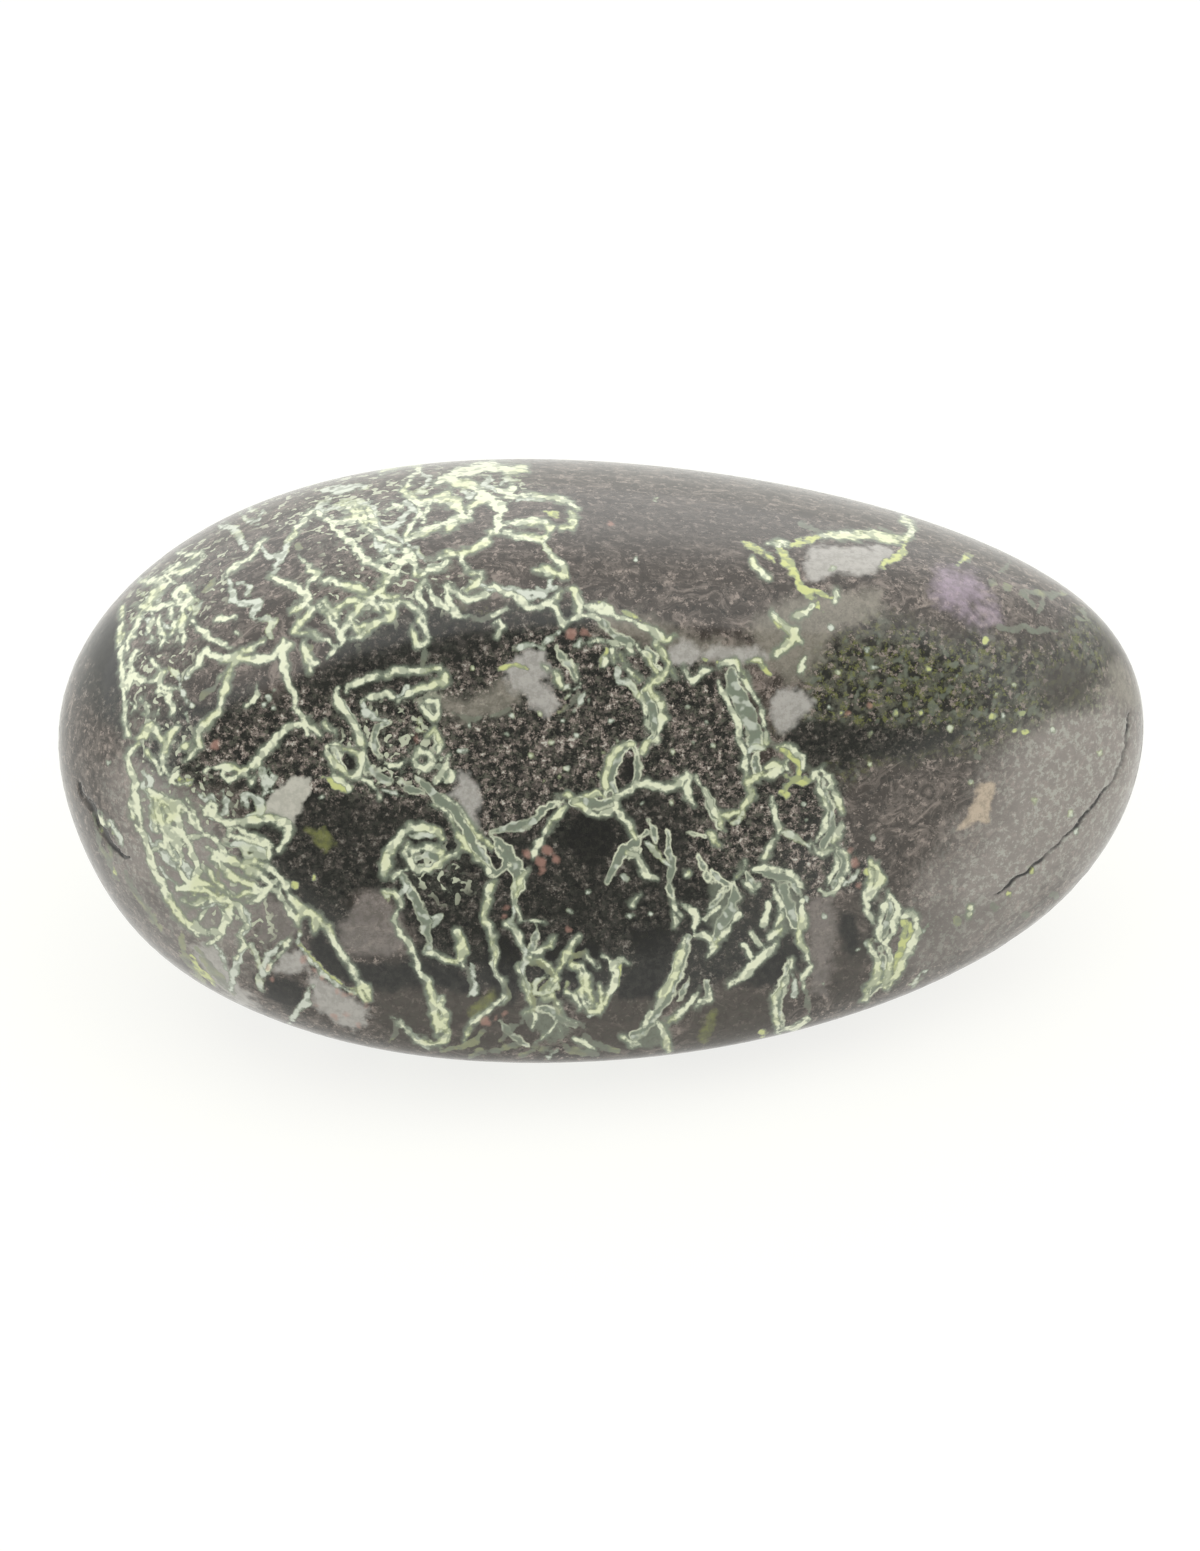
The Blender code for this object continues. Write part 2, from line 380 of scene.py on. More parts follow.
        (PALE, 2.6, (328, 746), (326, 753), (332, 760), (339, 768), (346, 776)),
        (RIBBON, 5.0, (333, 748), (338, 758), (343, 769)),
        (PALE, 2.6, (331, 744), (337, 745), (343, 750)),
        (PALE, 3.0, (346, 776), (355, 777), (360, 767), (361, 755), (357, 752), (350, 751)),
        (LIME, 4.0, (323, 777), (334, 782), (343, 788), (350, 788)),
        (PALE, 2.8, (334, 775), (343, 783), (350, 789)),
        (PALE, 3.2, (360, 778), (369, 783), (375, 790), (379, 797)),
        (RIBBON, 6.0, (366, 758), (366, 770), (378, 777), (391, 779)),
        (PALE, 2.0, (384, 762), (390, 767), (398, 765), (404, 761)),
        (MILKY, 2.6, (383, 790), (392, 793), (404, 797)),
        (RIBBON, 3.6, (399, 778), (405, 788), (414, 790), (424, 793)),
        (RIBBON, 4.4, (434, 731), (437, 741), (433, 750), (430, 757)),
        (PALE, 2.0, (428, 735), (434, 730), (438, 738), (437, 750), (431, 758)),
        (PALE, 2.6, (413, 759), (419, 753), (430, 755), (432, 762), (424, 769), (417, 765), (413, 759)),
        (PALE, 3.2, (440, 757), (449, 755), (448, 766), (441, 773), (435, 781)),
        (RIBBON, 4.0, (437, 765), (444, 772), (449, 779)),
        (PALE, 2.6, (447, 765), (453, 772), (450, 780), (445, 781)),
        (MILKY, 3.0, (457, 751), (468, 749)),
        (RIBBON, 5.6, (418, 778), (428, 786), (436, 798), (447, 805), (456, 813), (463, 825), (470, 838),
         (477, 850), (486, 862), (493, 871)),
        (PALE, 1.6, (433, 803), (445, 811), (453, 823), (458, 833), (466, 846), (476, 858), (489, 871)),
        (PALE, 1.6, (441, 796), (453, 801), (462, 811), (470, 826), (480, 838), (492, 848)),
        (PALE, 2.0, (421, 705), (427, 700), (436, 701), (437, 712), (433, 719), (427, 712), (421, 705)),
        (RIBBON, 4.0, (427, 704), (432, 714)),
        (DULL, 2.6, (424, 641), (425, 653), (421, 667)),
        (PALE, 2.0, (412, 626), (414, 635), (416, 644), (424, 645), (430, 636), (425, 628), (419, 623)),
        (MILKY, 4.0, (419, 719), (421, 722)),
        (LIME, 2.4, (399, 720), (403, 721)),
        (MILKY, 2.0, (417, 730), (426, 731)),
    ),
    "crescent and its inner lines": (
        (PALE, 3.2, (441, 838), (437, 831), (426, 827), (414, 827), (404, 831), (396, 839), (390, 848),
         (385, 857), (383, 867), (384, 878)),
        (PALE, 5.0, (393, 848), (387, 862), (384, 873)),
        (MILKY, 5.0, (412, 836), (424, 836), (436, 835)),
        (PALE, 2.0, (407, 843), (403, 852), (409, 861), (414, 868)),
        (RIBBON, 5.5, (416, 858), (428, 853), (438, 856), (436, 864), (420, 866)),
        (PALE, 2.0, (411, 852), (420, 848), (433, 848), (442, 853), (440, 862), (430, 868), (416, 870),
         (410, 862), (411, 852)),
        (PALE, 2.2, (445, 860), (455, 854), (461, 847)),
        (RIBBON, 5.2, (400, 872), (407, 884), (413, 896), (420, 908), (424, 922), (427, 936), (428, 949)),
        (PALE, 2.0, (393, 878), (399, 872), (406, 869)),
        (MILKY, 3.0, (384, 892), (388, 901)),
        (PALE, 2.8, (385, 892), (393, 893), (399, 899), (400, 908)),
        (PALE, 2.8, (396, 910), (393, 919), (398, 930), (405, 940), (411, 950), (415, 960), (420, 970),
         (426, 980), (430, 990)),
        (PALE, 3.8, (430, 990), (433, 1002), (434, 1014), (437, 1025), (436, 1034)),
        (PALE, 3.2, (441, 998), (441, 1008), (446, 1016), (444, 1024), (437, 1027)),
        (MILKY, 2.8, (448, 1030), (447, 1038), (440, 1043), (429, 1042)),
        (PALE, 2.4, (425, 954), (435, 955), (447, 960), (458, 965)),
        (PALE, 3.6, (456, 931), (461, 941), (464, 951), (460, 960), (462, 967)),
        (MILKY, 1.8, (470, 962), (473, 974), (476, 985), (474, 993), (467, 996)),
        (MILKY, 3.4, (425, 953), (426, 955)),
        (PALE, 3.4, (399, 1022), (403, 1023)),
        (MILKY, 2.8, (402, 1025), (411, 1034), (421, 1042), (428, 1050)),
        (DULL, 2.4, (392, 1018), (397, 1026), (394, 1036), (390, 1041)),
        (LIME, 2.8, (474, 1019), (471, 1028), (466, 1038)),
        (MILKY, 2.0, (479, 1018), (490, 1010)),
    ),
    "long veins lower left": (
        (PALE, 2.6, (319, 917), (326, 928), (333, 940), (341, 953), (349, 964), (355, 975), (361, 987)),
        (PALE, 4.2, (358, 981), (366, 988), (370, 997)),
        (PALE, 3.2, (358, 981), (360, 991), (364, 1000)),
        (MILKY, 4.0, (297, 932), (299, 941)),
        (LIME, 1.6, (301, 946), (309, 958), (318, 967), (328, 976), (340, 983), (352, 988)),
        (MILKY, 1.6, (309, 961), (322, 974), (336, 984), (349, 990), (358, 994)),
        (MILKY, 3.2, (291, 1019), (297, 1011), (303, 1003), (309, 994), (312, 987)),
        (MILKY, 2.4, (303, 1010), (309, 1003)),
    ),
    "wiggly vertical in the middle": (
        (PALE, 2.4, (494, 880), (488, 888), (487, 900), (484, 911), (484, 919), (490, 927), (493, 938)),
        (RIBBON, 3.0, (493, 944), (495, 955), (492, 963), (497, 974), (503, 984)),
        (DULL, 2.6, (503, 984), (508, 996), (500, 1006)),
    ),
    "top cluster": (
        (PALE, 5.0, (410, 478), (418, 469)),
        (PALE, 4.0, (404, 487), (412, 477)),
        (PALE, 5.0, (436, 482), (449, 476), (462, 471), (478, 466), (494, 463)),
        (PALE, 6.0, (497, 468), (512, 469), (526, 467)),
        (PALE, 7.0, (500, 488), (508, 492), (513, 486)),
        (PALE, 6.0, (497, 500), (503, 507), (497, 518), (497, 530)),
        (PALE, 4.4, (437, 497), (447, 493), (440, 504)),
        (PALE, 4.0, (441, 503), (456, 504), (462, 510), (463, 516), (470, 518)),
        (PALE, 3.4, (470, 516), (471, 505), (481, 497), (492, 497)),
        (MILKY, 4.0, (462, 490), (470, 496), (480, 486), (490, 478)),
        (PALE, 3.0, (403, 490), (411, 497), (420, 501), (437, 499)),
        (MILKY, 4.0, (401, 500), (411, 507), (420, 512)),
        (PALE, 3.2, (421, 512), (413, 521), (408, 531), (405, 542)),
        (PALE, 2.6, (424, 520), (421, 512), (416, 503)),
        (PALE, 2.4, (405, 541), (416, 534), (428, 531), (437, 528)),
        (MILKY, 3.2, (407, 543), (415, 548), (421, 556), (427, 561)),
        (PALE, 3.2, (446, 530), (451, 525), (457, 523)),
        (PALE, 2.6, (492, 530), (487, 540), (478, 545), (470, 550), (462, 552), (461, 560), (467, 568)),
        (PALE, 2.4, (427, 561), (438, 558), (447, 554), (456, 551)),
        (RIBBON, 6.0, (430, 566), (440, 564)),
        (PALE, 3.0, (420, 575), (427, 569), (440, 567), (448, 560)),
    ),
    "upper middle net": (
        (MILKY, 3.0, (312, 510), (321, 503), (331, 498)),
        (PALE, 2.6, (312, 509), (303, 520), (294, 530), (289, 540)),
        (MILKY, 3.4, (290, 536), (284, 549), (279, 560), (271, 574)),
        (PALE, 2.8, (313, 509), (322, 515), (331, 521)),
        (PALE, 3.0, (330, 521), (333, 528), (342, 534), (350, 541), (357, 549), (362, 557), (370, 563),
         (381, 566), (391, 570), (398, 575)),
        (PALE, 2.6, (331, 521), (342, 520), (353, 519), (357, 511), (353, 503), (346, 508)),
        (MILKY, 3.4, (322, 490), (336, 489), (350, 486), (366, 485)),
        (PALE, 4.4, (368, 506), (371, 517), (378, 525)),
        (PALE, 3.0, (360, 508), (366, 520), (362, 530)),
        (MILKY, 3.4, (378, 525), (390, 528), (398, 536), (403, 544)),
        (MILKY, 3.6, (374, 535), (377, 545), (388, 550), (401, 549)),
        (PALE, 2.6, (388, 548), (383, 556), (382, 564)),
        (PALE, 2.8, (384, 512), (392, 505), (402, 506)),
        (PALE, 2.6, (380, 561), (390, 556), (398, 561), (408, 556), (415, 565), (414, 575)),
        (PALE, 2.6, (401, 549), (410, 551), (416, 560)),
        (PALE, 2.3, (299, 555), (306, 562), (311, 568), (316, 574), (309, 579), (307, 585)),
        (PALE, 2.6, (322, 580), (334, 581), (345, 586), (357, 586), (364, 591), (372, 592)),
        (PALE, 3.2, (270, 576), (280, 581), (292, 585), (300, 590), (308, 596), (303, 602), (297, 608),
         (290, 611)),
        (PALE, 2.4, (372, 592), (381, 589), (387, 581), (385, 574)),
        (PALE, 2.2, (372, 592), (384, 596), (398, 597)),
        (PALE, 2.8, (318, 603), (324, 610), (331, 618), (337, 625), (340, 634), (339, 641), (346, 640)),
        (PALE, 2.2, (318, 603), (325, 601), (330, 610), (336, 617)),
        (PALE, 2.4, (292, 631), (301, 622), (309, 615), (313, 609), (306, 604)),
        (PALE, 2.2, (300, 633), (309, 632), (317, 636), (324, 640)),
        (PALE, 2.6, (343, 630), (351, 618), (358, 607), (366, 600), (375, 604), (381, 612)),
        (PALE, 2.4, (351, 618), (356, 626), (361, 634)),
        (PALE, 2.6, (384, 605), (391, 607), (393, 613), (387, 619), (378, 622), (368, 627), (360, 635),
         (347, 641)),
        (PALE, 2.0, (381, 604), (372, 597), (360, 594)),
        (PALE, 2.2, (393, 603), (403, 600), (411, 604), (420, 613), (424, 623)),
        (PALE, 2.8, (424, 581), (430, 587), (432, 596), (438, 602), (445, 606), (452, 613)),
        (PALE, 2.4, (423, 582), (418, 591), (421, 600), (425, 607)),
        (PALE, 3.0, (446, 583), (449, 598), (453, 607), (455, 615), (468, 618)),
        (PALE, 3.6, (452, 589), (460, 595), (470, 599), (482, 596), (493, 591)),
        (PALE, 2.4, (465, 590), (477, 583), (481, 574), (472, 573)),
        (DULL, 2.0, (468, 618), (480, 620), (490, 616), (501, 611)),
        (PALE, 2.4, (491, 616), (500, 611), (510, 609)),
        (PALE, 2.4, (494, 622), (500, 620), (502, 627), (496, 634)),
        (PALE, 2.6, (484, 588), (494, 584), (499, 590), (506, 594), (516, 594), (522, 602), (527, 607),
         (537, 606), (548, 602), (557, 597), (562, 590)),
        (MILKY, 6.0, (523, 593), (534, 592)),
        (MILKY, 3.0, (537, 586), (546, 590), (541, 597)),
        (MILKY, 4.0, (519, 499), (530, 497), (545, 499)),
        (PALE, 2.8, (554, 497), (564, 500), (572, 503), (578, 507)),
        (MILKY, 3.6, (568, 512), (574, 518), (571, 525), (564, 527)),
        (PALE, 2.8, (503, 523), (515, 521), (530, 520), (544, 522), (551, 526), (547, 534), (542, 539)),
        (PALE, 3.2, (542, 539), (530, 537), (515, 535), (504, 531)),
        (MILKY, 4.2, (543, 539), (546, 547), (552, 554)),
        (PALE, 3.0, (552, 555), (560, 562), (564, 569), (567, 576)),
        (LIME, 4.0, (545, 512), (556, 514)),
        (PALE, 4.6, (536, 570), (546, 570), (554, 573), (560, 574)),
        (MILKY, 3.0, (560, 574), (551, 580), (546, 588)),
    ),
    "toward the middle": (
        (PALE, 2.8, (550, 603), (556, 608), (560, 616), (564, 626)),
        (PALE, 3.6, (568, 587), (575, 588), (578, 597), (580, 607), (579, 615), (571, 619), (566, 621)),
        (PALE, 3.0, (582, 614), (591, 614), (599, 619)),
        (RIBBON, 7.5, (602, 622), (611, 632), (622, 638), (632, 642)),
        (PALE, 3.0, (583, 606), (594, 606), (603, 605), (611, 611), (620, 616)),
        (LIME, 3.6, (598, 602), (607, 606), (614, 612)),
        (LIME, 3.2, (621, 609), (630, 613), (640, 619), (648, 624)),
        (PALE, 3.6, (648, 627), (655, 633), (663, 640), (669, 640), (673, 635)),
        (PALE, 3.4, (596, 640), (606, 642)),
        (MILKY, 3.0, (541, 646), (549, 638), (558, 632)),
        (MILKY, 3.4, (575, 646), (583, 639)),
        (PALE, 2.7, (592, 606), (606, 611), (619, 616), (632, 619), (646, 625), (658, 633), (669, 641)),
        (PALE, 2.2, (583, 642), (596, 639), (608, 641), (618, 644)),
        (LIME, 2.8, (607, 648), (604, 656), (600, 666)),
        (PALE, 3.0, (772, 612), (778, 620), (787, 627), (795, 633), (791, 642), (784, 650)),
        (LIME, 2.4, (775, 616), (783, 626), (792, 636)),
        (LIME, 2.8, (752, 660), (760, 662), (768, 670)),
        (LIME, 2.4, (805, 655), (802, 665), (799, 674)),
        (RIBBON, 6.0, (646, 648), (653, 657), (660, 668)),
        (PALE, 2.4, (637, 645), (646, 654), (653, 666), (660, 675)),
        (PALE, 2.4, (655, 641), (663, 652), (669, 665)),
        (PALE, 3.0, (669, 665), (662, 677), (652, 682), (645, 690)),
        (RIBBON, 8.0, (645, 692), (651, 702), (654, 714), (655, 726), (653, 738)),
        (PALE, 2.6, (640, 693), (645, 705), (647, 718), (649, 730)),
        (PALE, 3.6, (651, 690), (660, 703), (663, 718), (660, 730), (655, 740)),
        (MILKY, 5.4, (616, 667), (617, 677)),
        (MILKY, 3.4, (617, 680), (628, 682), (636, 689), (641, 696)),
        (PALE, 2.2, (625, 664), (633, 671), (639, 681)),
        (PALE, 4.4, (605, 656), (603, 665)),
        (PALE, 2.6, (620, 655), (625, 660)),
        (PALE, 3.2, (612, 649), (612, 660)),
        (PALE, 3.4, (629, 645), (632, 652)),
        (PALE, 2.8, (652, 740), (645, 744), (643, 752)),
        (RIBBON, 5.6, (618, 750), (613, 762), (611, 774), (613, 786), (617, 796)),
        (PALE, 2.4, (633, 745), (624, 744), (615, 750), (609, 761), (606, 774), (606, 787), (611, 797)),
        (RIBBON, 3.2, (634, 746), (638, 756), (640, 767), (637, 779), (630, 788)),
        (PALE, 3.0, (618, 797), (628, 791), (635, 785), (646, 783), (656, 786), (664, 789), (673, 787),
         (681, 780), (687, 775)),
        (RIBBON, 6.4, (573, 800), (588, 801), (602, 804), (612, 803)),
        (PALE, 2.4, (560, 797), (568, 795), (577, 799)),
        (PALE, 2.4, (574, 802), (586, 808), (597, 815), (608, 811), (617, 806), (615, 796)),
        (PALE, 2.2, (583, 796), (594, 793), (606, 797)),
        (RIBBON, 4.6, (562, 802), (550, 806), (541, 812), (533, 820), (520, 825), (505, 828), (491, 832)),
        (PALE, 2.6, (565, 806), (558, 813), (553, 822), (546, 830)),
        (PALE, 3.2, (546, 830), (541, 838), (538, 847), (533, 857)),
        (RIBBON, 4.0, (492, 840), (499, 849), (506, 858), (505, 866), (498, 872), (492, 876)),
        (RIBBON, 3.4, (507, 866), (516, 872), (526, 871)),
        (PALE, 3.0, (687, 772), (690, 780), (686, 788), (688, 796), (693, 804)),
        (RIBBON, 4.6, (699, 781), (706, 793), (711, 806), (716, 818), (721, 829)),
        (PALE, 2.0, (697, 777), (703, 787), (708, 799), (714, 811), (720, 821), (723, 829)),
        (PALE, 2.8, (616, 810), (622, 815), (628, 823), (632, 832), (636, 840)),
        (RIBBON, 5.4, (646, 831), (636, 842), (625, 850), (618, 860), (612, 870), (608, 880)),
        (PALE, 3.2, (628, 852), (638, 856), (641, 866), (647, 876), (656, 878)),
        (RIBBON, 5.4, (630, 858), (640, 850)),
        (MILKY, 2.8, (645, 842), (654, 850), (662, 860), (671, 867)),
        (RIBBON, 4.0, (650, 820), (653, 830), (655, 841)),
        (RIBBON, 4.4, (667, 830), (668, 841), (670, 852), (673, 862), (671, 874), (670, 890), (673, 902)),
        (RIBBON, 6.0, (692, 833), (703, 836)),
        (PALE, 2.8, (709, 833), (715, 839), (720, 846)),
        (RIBBON, 6.0, (699, 855), (704, 866), (709, 878)),
        (PALE, 2.2, (684, 668), (687, 676), (694, 679), (700, 676), (705, 670), (710, 668)),
        (PALE, 2.0, (674, 670), (675, 677)),
        (LIME, 3.0, (704, 659), (706, 659)),
        (LIME, 2.6, (718, 662), (719, 664)),
        (RIBBON, 5.0, (557, 648), (565, 658), (571, 668), (576, 680)),
        (PALE, 2.2, (575, 668), (578, 682)),
        (PALE, 4.4, (556, 671), (557, 678), (560, 685)),
        (PALE, 3.0, (543, 663), (547, 667)),
        (MILKY, 1.6, (563, 690), (570, 684)),
        (MILKY, 1.6, (566, 697), (577, 687)),
        (MILKY, 1.8, (573, 712), (580, 702), (584, 692)),
    ),
    "lower middle": (
        (RIBBON, 5.0, (491, 836), (503, 845), (511, 856), (516, 868), (520, 880), (517, 894), (514, 905),
         (518, 915)),
        (PALE, 1.8, (527, 870), (521, 880), (518, 892), (514, 903), (518, 914), (521, 920)),
        (PALE, 2.4, (507, 924), (514, 930), (519, 938), (524, 946)),
        (PALE, 1.9, (524, 921), (534, 921), (544, 921)),
        (RIBBON, 5.0, (536, 926), (534, 938), (531, 950), (524, 952)),
        (PALE, 2.4, (555, 938), (549, 945), (541, 951), (530, 953)),
        (PALE, 2.2, (580, 934), (573, 943), (569, 953), (562, 962), (557, 969)),
        (DULL, 2.8, (570, 962), (576, 956), (584, 955), (592, 960), (598, 966)),
        (DULL, 4.0, (577, 965), (583, 975), (586, 986), (590, 996)),
        (PALE, 1.2, (573, 964), (580, 972), (584, 984), (591, 997), (598, 1006)),
        (PALE, 1.6, (586, 955), (594, 963), (600, 968)),
        (LIME, 4.0, (618, 962), (618, 974), (616, 985)),
        (PALE, 1.6, (628, 962), (620, 960), (612, 966), (612, 978)),
        (PALE, 2.0, (602, 954), (609, 958)),
        (PALE, 1.6, (600, 985), (600, 998), (601, 1009), (596, 1012)),
        (DULL, 3.6, (525, 960), (537, 962), (548, 968), (554, 978), (548, 987), (538, 991)),
        (PALE, 1.0, (527, 957), (539, 960), (550, 967), (557, 978), (549, 990)),
        (DULL, 3.0, (521, 965), (524, 978), (528, 990), (532, 1002), (535, 1013)),
        (PALE, 1.0, (519, 966), (522, 980), (527, 994), (530, 1004)),
        (PALE, 1.8, (567, 992), (574, 999), (581, 1006), (580, 1009)),
        (PALE, 2.2, (584, 995), (590, 1002), (597, 1009)),
        (MILKY, 2.0, (590, 1018), (597, 1013)),
        (DULL, 4.0, (545, 1000), (555, 998), (558, 1009), (563, 1019), (572, 1022), (583, 1027)),
        (PALE, 1.1, (543, 998), (553, 996), (560, 1008), (566, 1018), (576, 1023)),
        (DULL, 2.8, (524, 1018), (531, 1025), (530, 1012), (538, 1016)),
        (PALE, 1.2, (523, 1014), (531, 1009), (537, 1017), (532, 1027)),
        (DULL, 2.8, (546, 1035), (553, 1028), (560, 1024), (561, 1034), (560, 1043)),
        (PALE, 1.2, (541, 1040), (550, 1030), (558, 1022), (563, 1036)),
        (DULL, 3.4, (566, 1016), (575, 1021)),
        (DULL, 2.4, (440, 1050), (460, 1048), (476, 1040), (484, 1030)),
        (DULL, 2.0, (470, 1056), (480, 1050), (498, 1054)),
        (DULL, 2.2, (520, 1056), (536, 1048), (552, 1050)),
        (DULL, 2.4, (585, 1035), (592, 1042), (604, 1048), (618, 1052)),
        (MILKY, 2.6, (505, 998), (500, 1004)),
        (DULL, 3.0, (500, 1040), (510, 1030), (522, 1022)),
        (DULL, 3.4, (490, 1052), (505, 1048), (520, 1045)),
        (MILKY, 4.0, (549, 1057), (556, 1051)),
        (DULL, 3.0, (561, 1043), (570, 1050), (582, 1053), (596, 1054)),
        (PALE, 2.4, (575, 1040), (586, 1046), (596, 1050)),
        (MILKY, 2.0, (546, 1035), (538, 1042)),
        (PALE, 2.4, (631, 903), (635, 897), (640, 894)),
    ),
    "big lower branch": (
        (RIBBON, 6.4, (690, 936), (686, 948), (681, 962), (676, 975), (671, 987), (664, 1000), (657, 1012),
         (650, 1022)),
        (PALE, 3.4, (685, 940), (681, 955), (677, 970), (670, 984), (662, 996), (655, 1008), (648, 1019),
         (644, 1027)),
        (PALE, 4.4, (659, 1022), (663, 1032), (666, 1042), (669, 1050)),
        (RIBBON, 7.0, (632, 1036), (643, 1032), (652, 1024)),
        (PALE, 3.4, (622, 1037), (630, 1043), (640, 1044)),
        (PALE, 3.0, (684, 905), (691, 909), (697, 916), (696, 926), (695, 935)),
        (PALE, 2.6, (675, 914), (677, 922), (675, 928)),
        (PALE, 2.8, (671, 900), (676, 907), (682, 914)),
        (PALE, 3.2, (695, 935), (703, 934), (711, 938), (717, 945)),
        (RIBBON, 5.0, (689, 980), (684, 990), (679, 999)),
        (PALE, 2.4, (700, 990), (693, 999), (686, 1008), (678, 1016), (668, 1021)),
        (RIBBON, 5.4, (706, 983), (708, 992), (704, 1003)),
        (PALE, 3.0, (697, 1008), (701, 1002), (710, 999), (711, 990)),
        (RIBBON, 8.0, (735, 886), (736, 898), (732, 910), (724, 920), (718, 930), (714, 942)),
        (PALE, 2.4, (712, 948), (717, 941), (724, 932), (733, 922), (740, 914)),
        (RIBBON, 5.4, (712, 905), (722, 895), (730, 885)),
        (PALE, 2.6, (705, 918), (712, 912), (720, 908)),
        (RIBBON, 4.4, (712, 870), (720, 880), (731, 885)),
        (PALE, 3.0, (709, 958), (714, 950), (717, 944)),
    ),
    "tall ribbon on the right of the middle": (
        (RIBBON, 12.5, (731, 672), (735, 688), (743, 704), (750, 720), (754, 734), (756, 748)),
        (PALE, 1.6, (742, 670), (752, 690), (762, 710), (766, 728), (767, 744)),
        (RIBBON, 9.0, (756, 756), (757, 770)),
        (PALE, 2.6, (719, 680), (723, 692), (729, 704), (735, 716), (739, 730), (742, 744), (745, 758),
         (747, 772)),
        (PALE, 3.4, (720, 666), (727, 661), (736, 662), (740, 672)),
        (PALE, 2.8, (740, 675), (747, 682), (751, 689)),
        (MILKY, 4.0, (746, 753), (754, 748), (764, 749)),
        (PALE, 3.0, (746, 772), (748, 781), (757, 778), (763, 772)),
        (PALE, 4.4, (765, 766), (774, 764), (780, 768), (773, 775), (764, 776)),
        (PALE, 3.0, (749, 785), (753, 794), (748, 801), (742, 808)),
        (MILKY, 3.4, (742, 807), (743, 813), (738, 819), (733, 822)),
        (PALE, 3.0, (724, 813), (731, 815), (737, 812)),
        (LIME, 6.0, (782, 749), (790, 752), (796, 760), (801, 770)),
        (PALE, 2.8, (778, 747), (786, 745), (795, 750), (802, 758), (803, 768)),
        (LIME, 5.4, (786, 776), (794, 781), (803, 782), (812, 779)),
        (LIME, 6.0, (783, 790), (788, 795)),
        (PALE, 2.6, (790, 772), (786, 765), (790, 760)),
        (PALE, 3.2, (812, 779), (817, 772), (823, 770), (829, 774), (831, 781), (829, 788)),
        (RIBBON, 4.6, (824, 780), (825, 790), (829, 800), (833, 812), (833, 824)),
        (PALE, 2.4, (819, 779), (820, 790), (826, 800), (828, 812), (827, 824), (822, 834), (817, 842)),
        (PALE, 2.6, (831, 786), (836, 795), (841, 804), (842, 812)),
        (LIME, 3.6, (842, 805), (843, 811)),
        (RIBBON, 7.5, (832, 824), (830, 836), (825, 845)),
        (PALE, 2.6, (842, 821), (839, 832), (834, 842)),
        (PALE, 3.2, (811, 843), (817, 850), (826, 852), (835, 850)),
        (RIBBON, 5.4, (838, 850), (844, 858), (844, 870), (838, 880), (832, 888)),
        (PALE, 2.0, (837, 846), (846, 853), (849, 864), (846, 875), (840, 885), (833, 891)),
        (PALE, 2.0, (836, 853), (838, 862), (834, 872), (829, 881), (827, 889)),
        (PALE, 3.6, (822, 889), (826, 893), (834, 891)),
        (MILKY, 2.8, (845, 885), (850, 880), (856, 874), (859, 870)),
        (PALE, 2.6, (773, 796), (774, 806), (776, 817), (780, 828), (777, 834)),
        (MILKY, 2.6, (780, 830), (788, 833), (796, 838), (804, 842), (811, 846)),
        (PALE, 5.6, (770, 845), (764, 858)),
        (PALE, 2.4, (777, 836), (771, 842)),
        (RIBBON, 5.4, (758, 870), (768, 873), (779, 876), (788, 878), (797, 886), (800, 894)),
        (PALE, 2.4, (754, 869), (765, 867), (776, 870), (786, 870), (793, 877), (800, 884), (804, 889)),
        (RIBBON, 7.0, (746, 872), (751, 880), (755, 887)),
        (PALE, 2.2, (737, 877), (744, 868), (746, 862)),
        (PALE, 2.6, (745, 883), (754, 889), (760, 884)),
        (RIBBON, 9.0, (784, 885), (788, 900), (792, 914), (796, 926)),
        (PALE, 2.6, (773, 885), (777, 893), (781, 903), (781, 915), (776, 926)),
        (PALE, 4.4, (801, 902), (804, 914), (802, 926), (799, 938)),
        (MILKY, 3.0, (806, 898), (808, 903)),
        (PALE, 4.4, (770, 904), (768, 914), (763, 924)),
        (PALE, 4.4, (783, 930), (774, 934), (768, 940)),
        (PALE, 5.4, (752, 933), (757, 940), (762, 945)),
        (PALE, 3.8, (775, 944), (770, 952), (760, 958), (753, 965), (747, 973), (738, 980), (729, 984)),
        (PALE, 3.2, (744, 945), (748, 954), (753, 960)),
        (PALE, 2.8, (800, 938), (804, 949), (808, 960), (811, 968)),
        (PALE, 3.6, (810, 968), (804, 976), (803, 986)),
        (RIBBON, 5.0, (789, 960), (787, 972), (783, 984), (778, 995), (777, 1007), (780, 1019),
         (784, 1028)),
        (PALE, 2.4, (791, 958), (792, 968), (787, 979), (780, 989), (775, 1000), (775, 1012), (778, 1024),
         (779, 1034)),
        (MILKY, 3.2, (792, 975), (795, 986), (794, 997)),
        (PALE, 3.0, (784, 1028), (795, 1028), (803, 1024), (809, 1019)),
        (DULL, 2.8, (806, 990), (808, 1003), (810, 1012)),
    ),
    "three on the lower right": (
        (PALE, 4.4, (873, 862), (879, 870), (881, 880), (876, 891), (869, 899)),
        (RIBBON, 4.4, (878, 875), (875, 888)),
        (PALE, 2.6, (872, 870), (872, 882), (868, 893), (866, 903), (869, 913), (872, 921)),
        (RIBBON, 6.0, (889, 900), (890, 912), (887, 924), (884, 935)),
        (PALE, 3.0, (889, 893), (895, 901), (899, 909), (896, 920), (893, 932), (886, 942)),
        (PALE, 3.0, (889, 893), (885, 905), (882, 918), (879, 930), (881, 941)),
        (RIBBON, 6.0, (880, 948), (884, 960), (882, 973), (878, 985), (871, 995)),
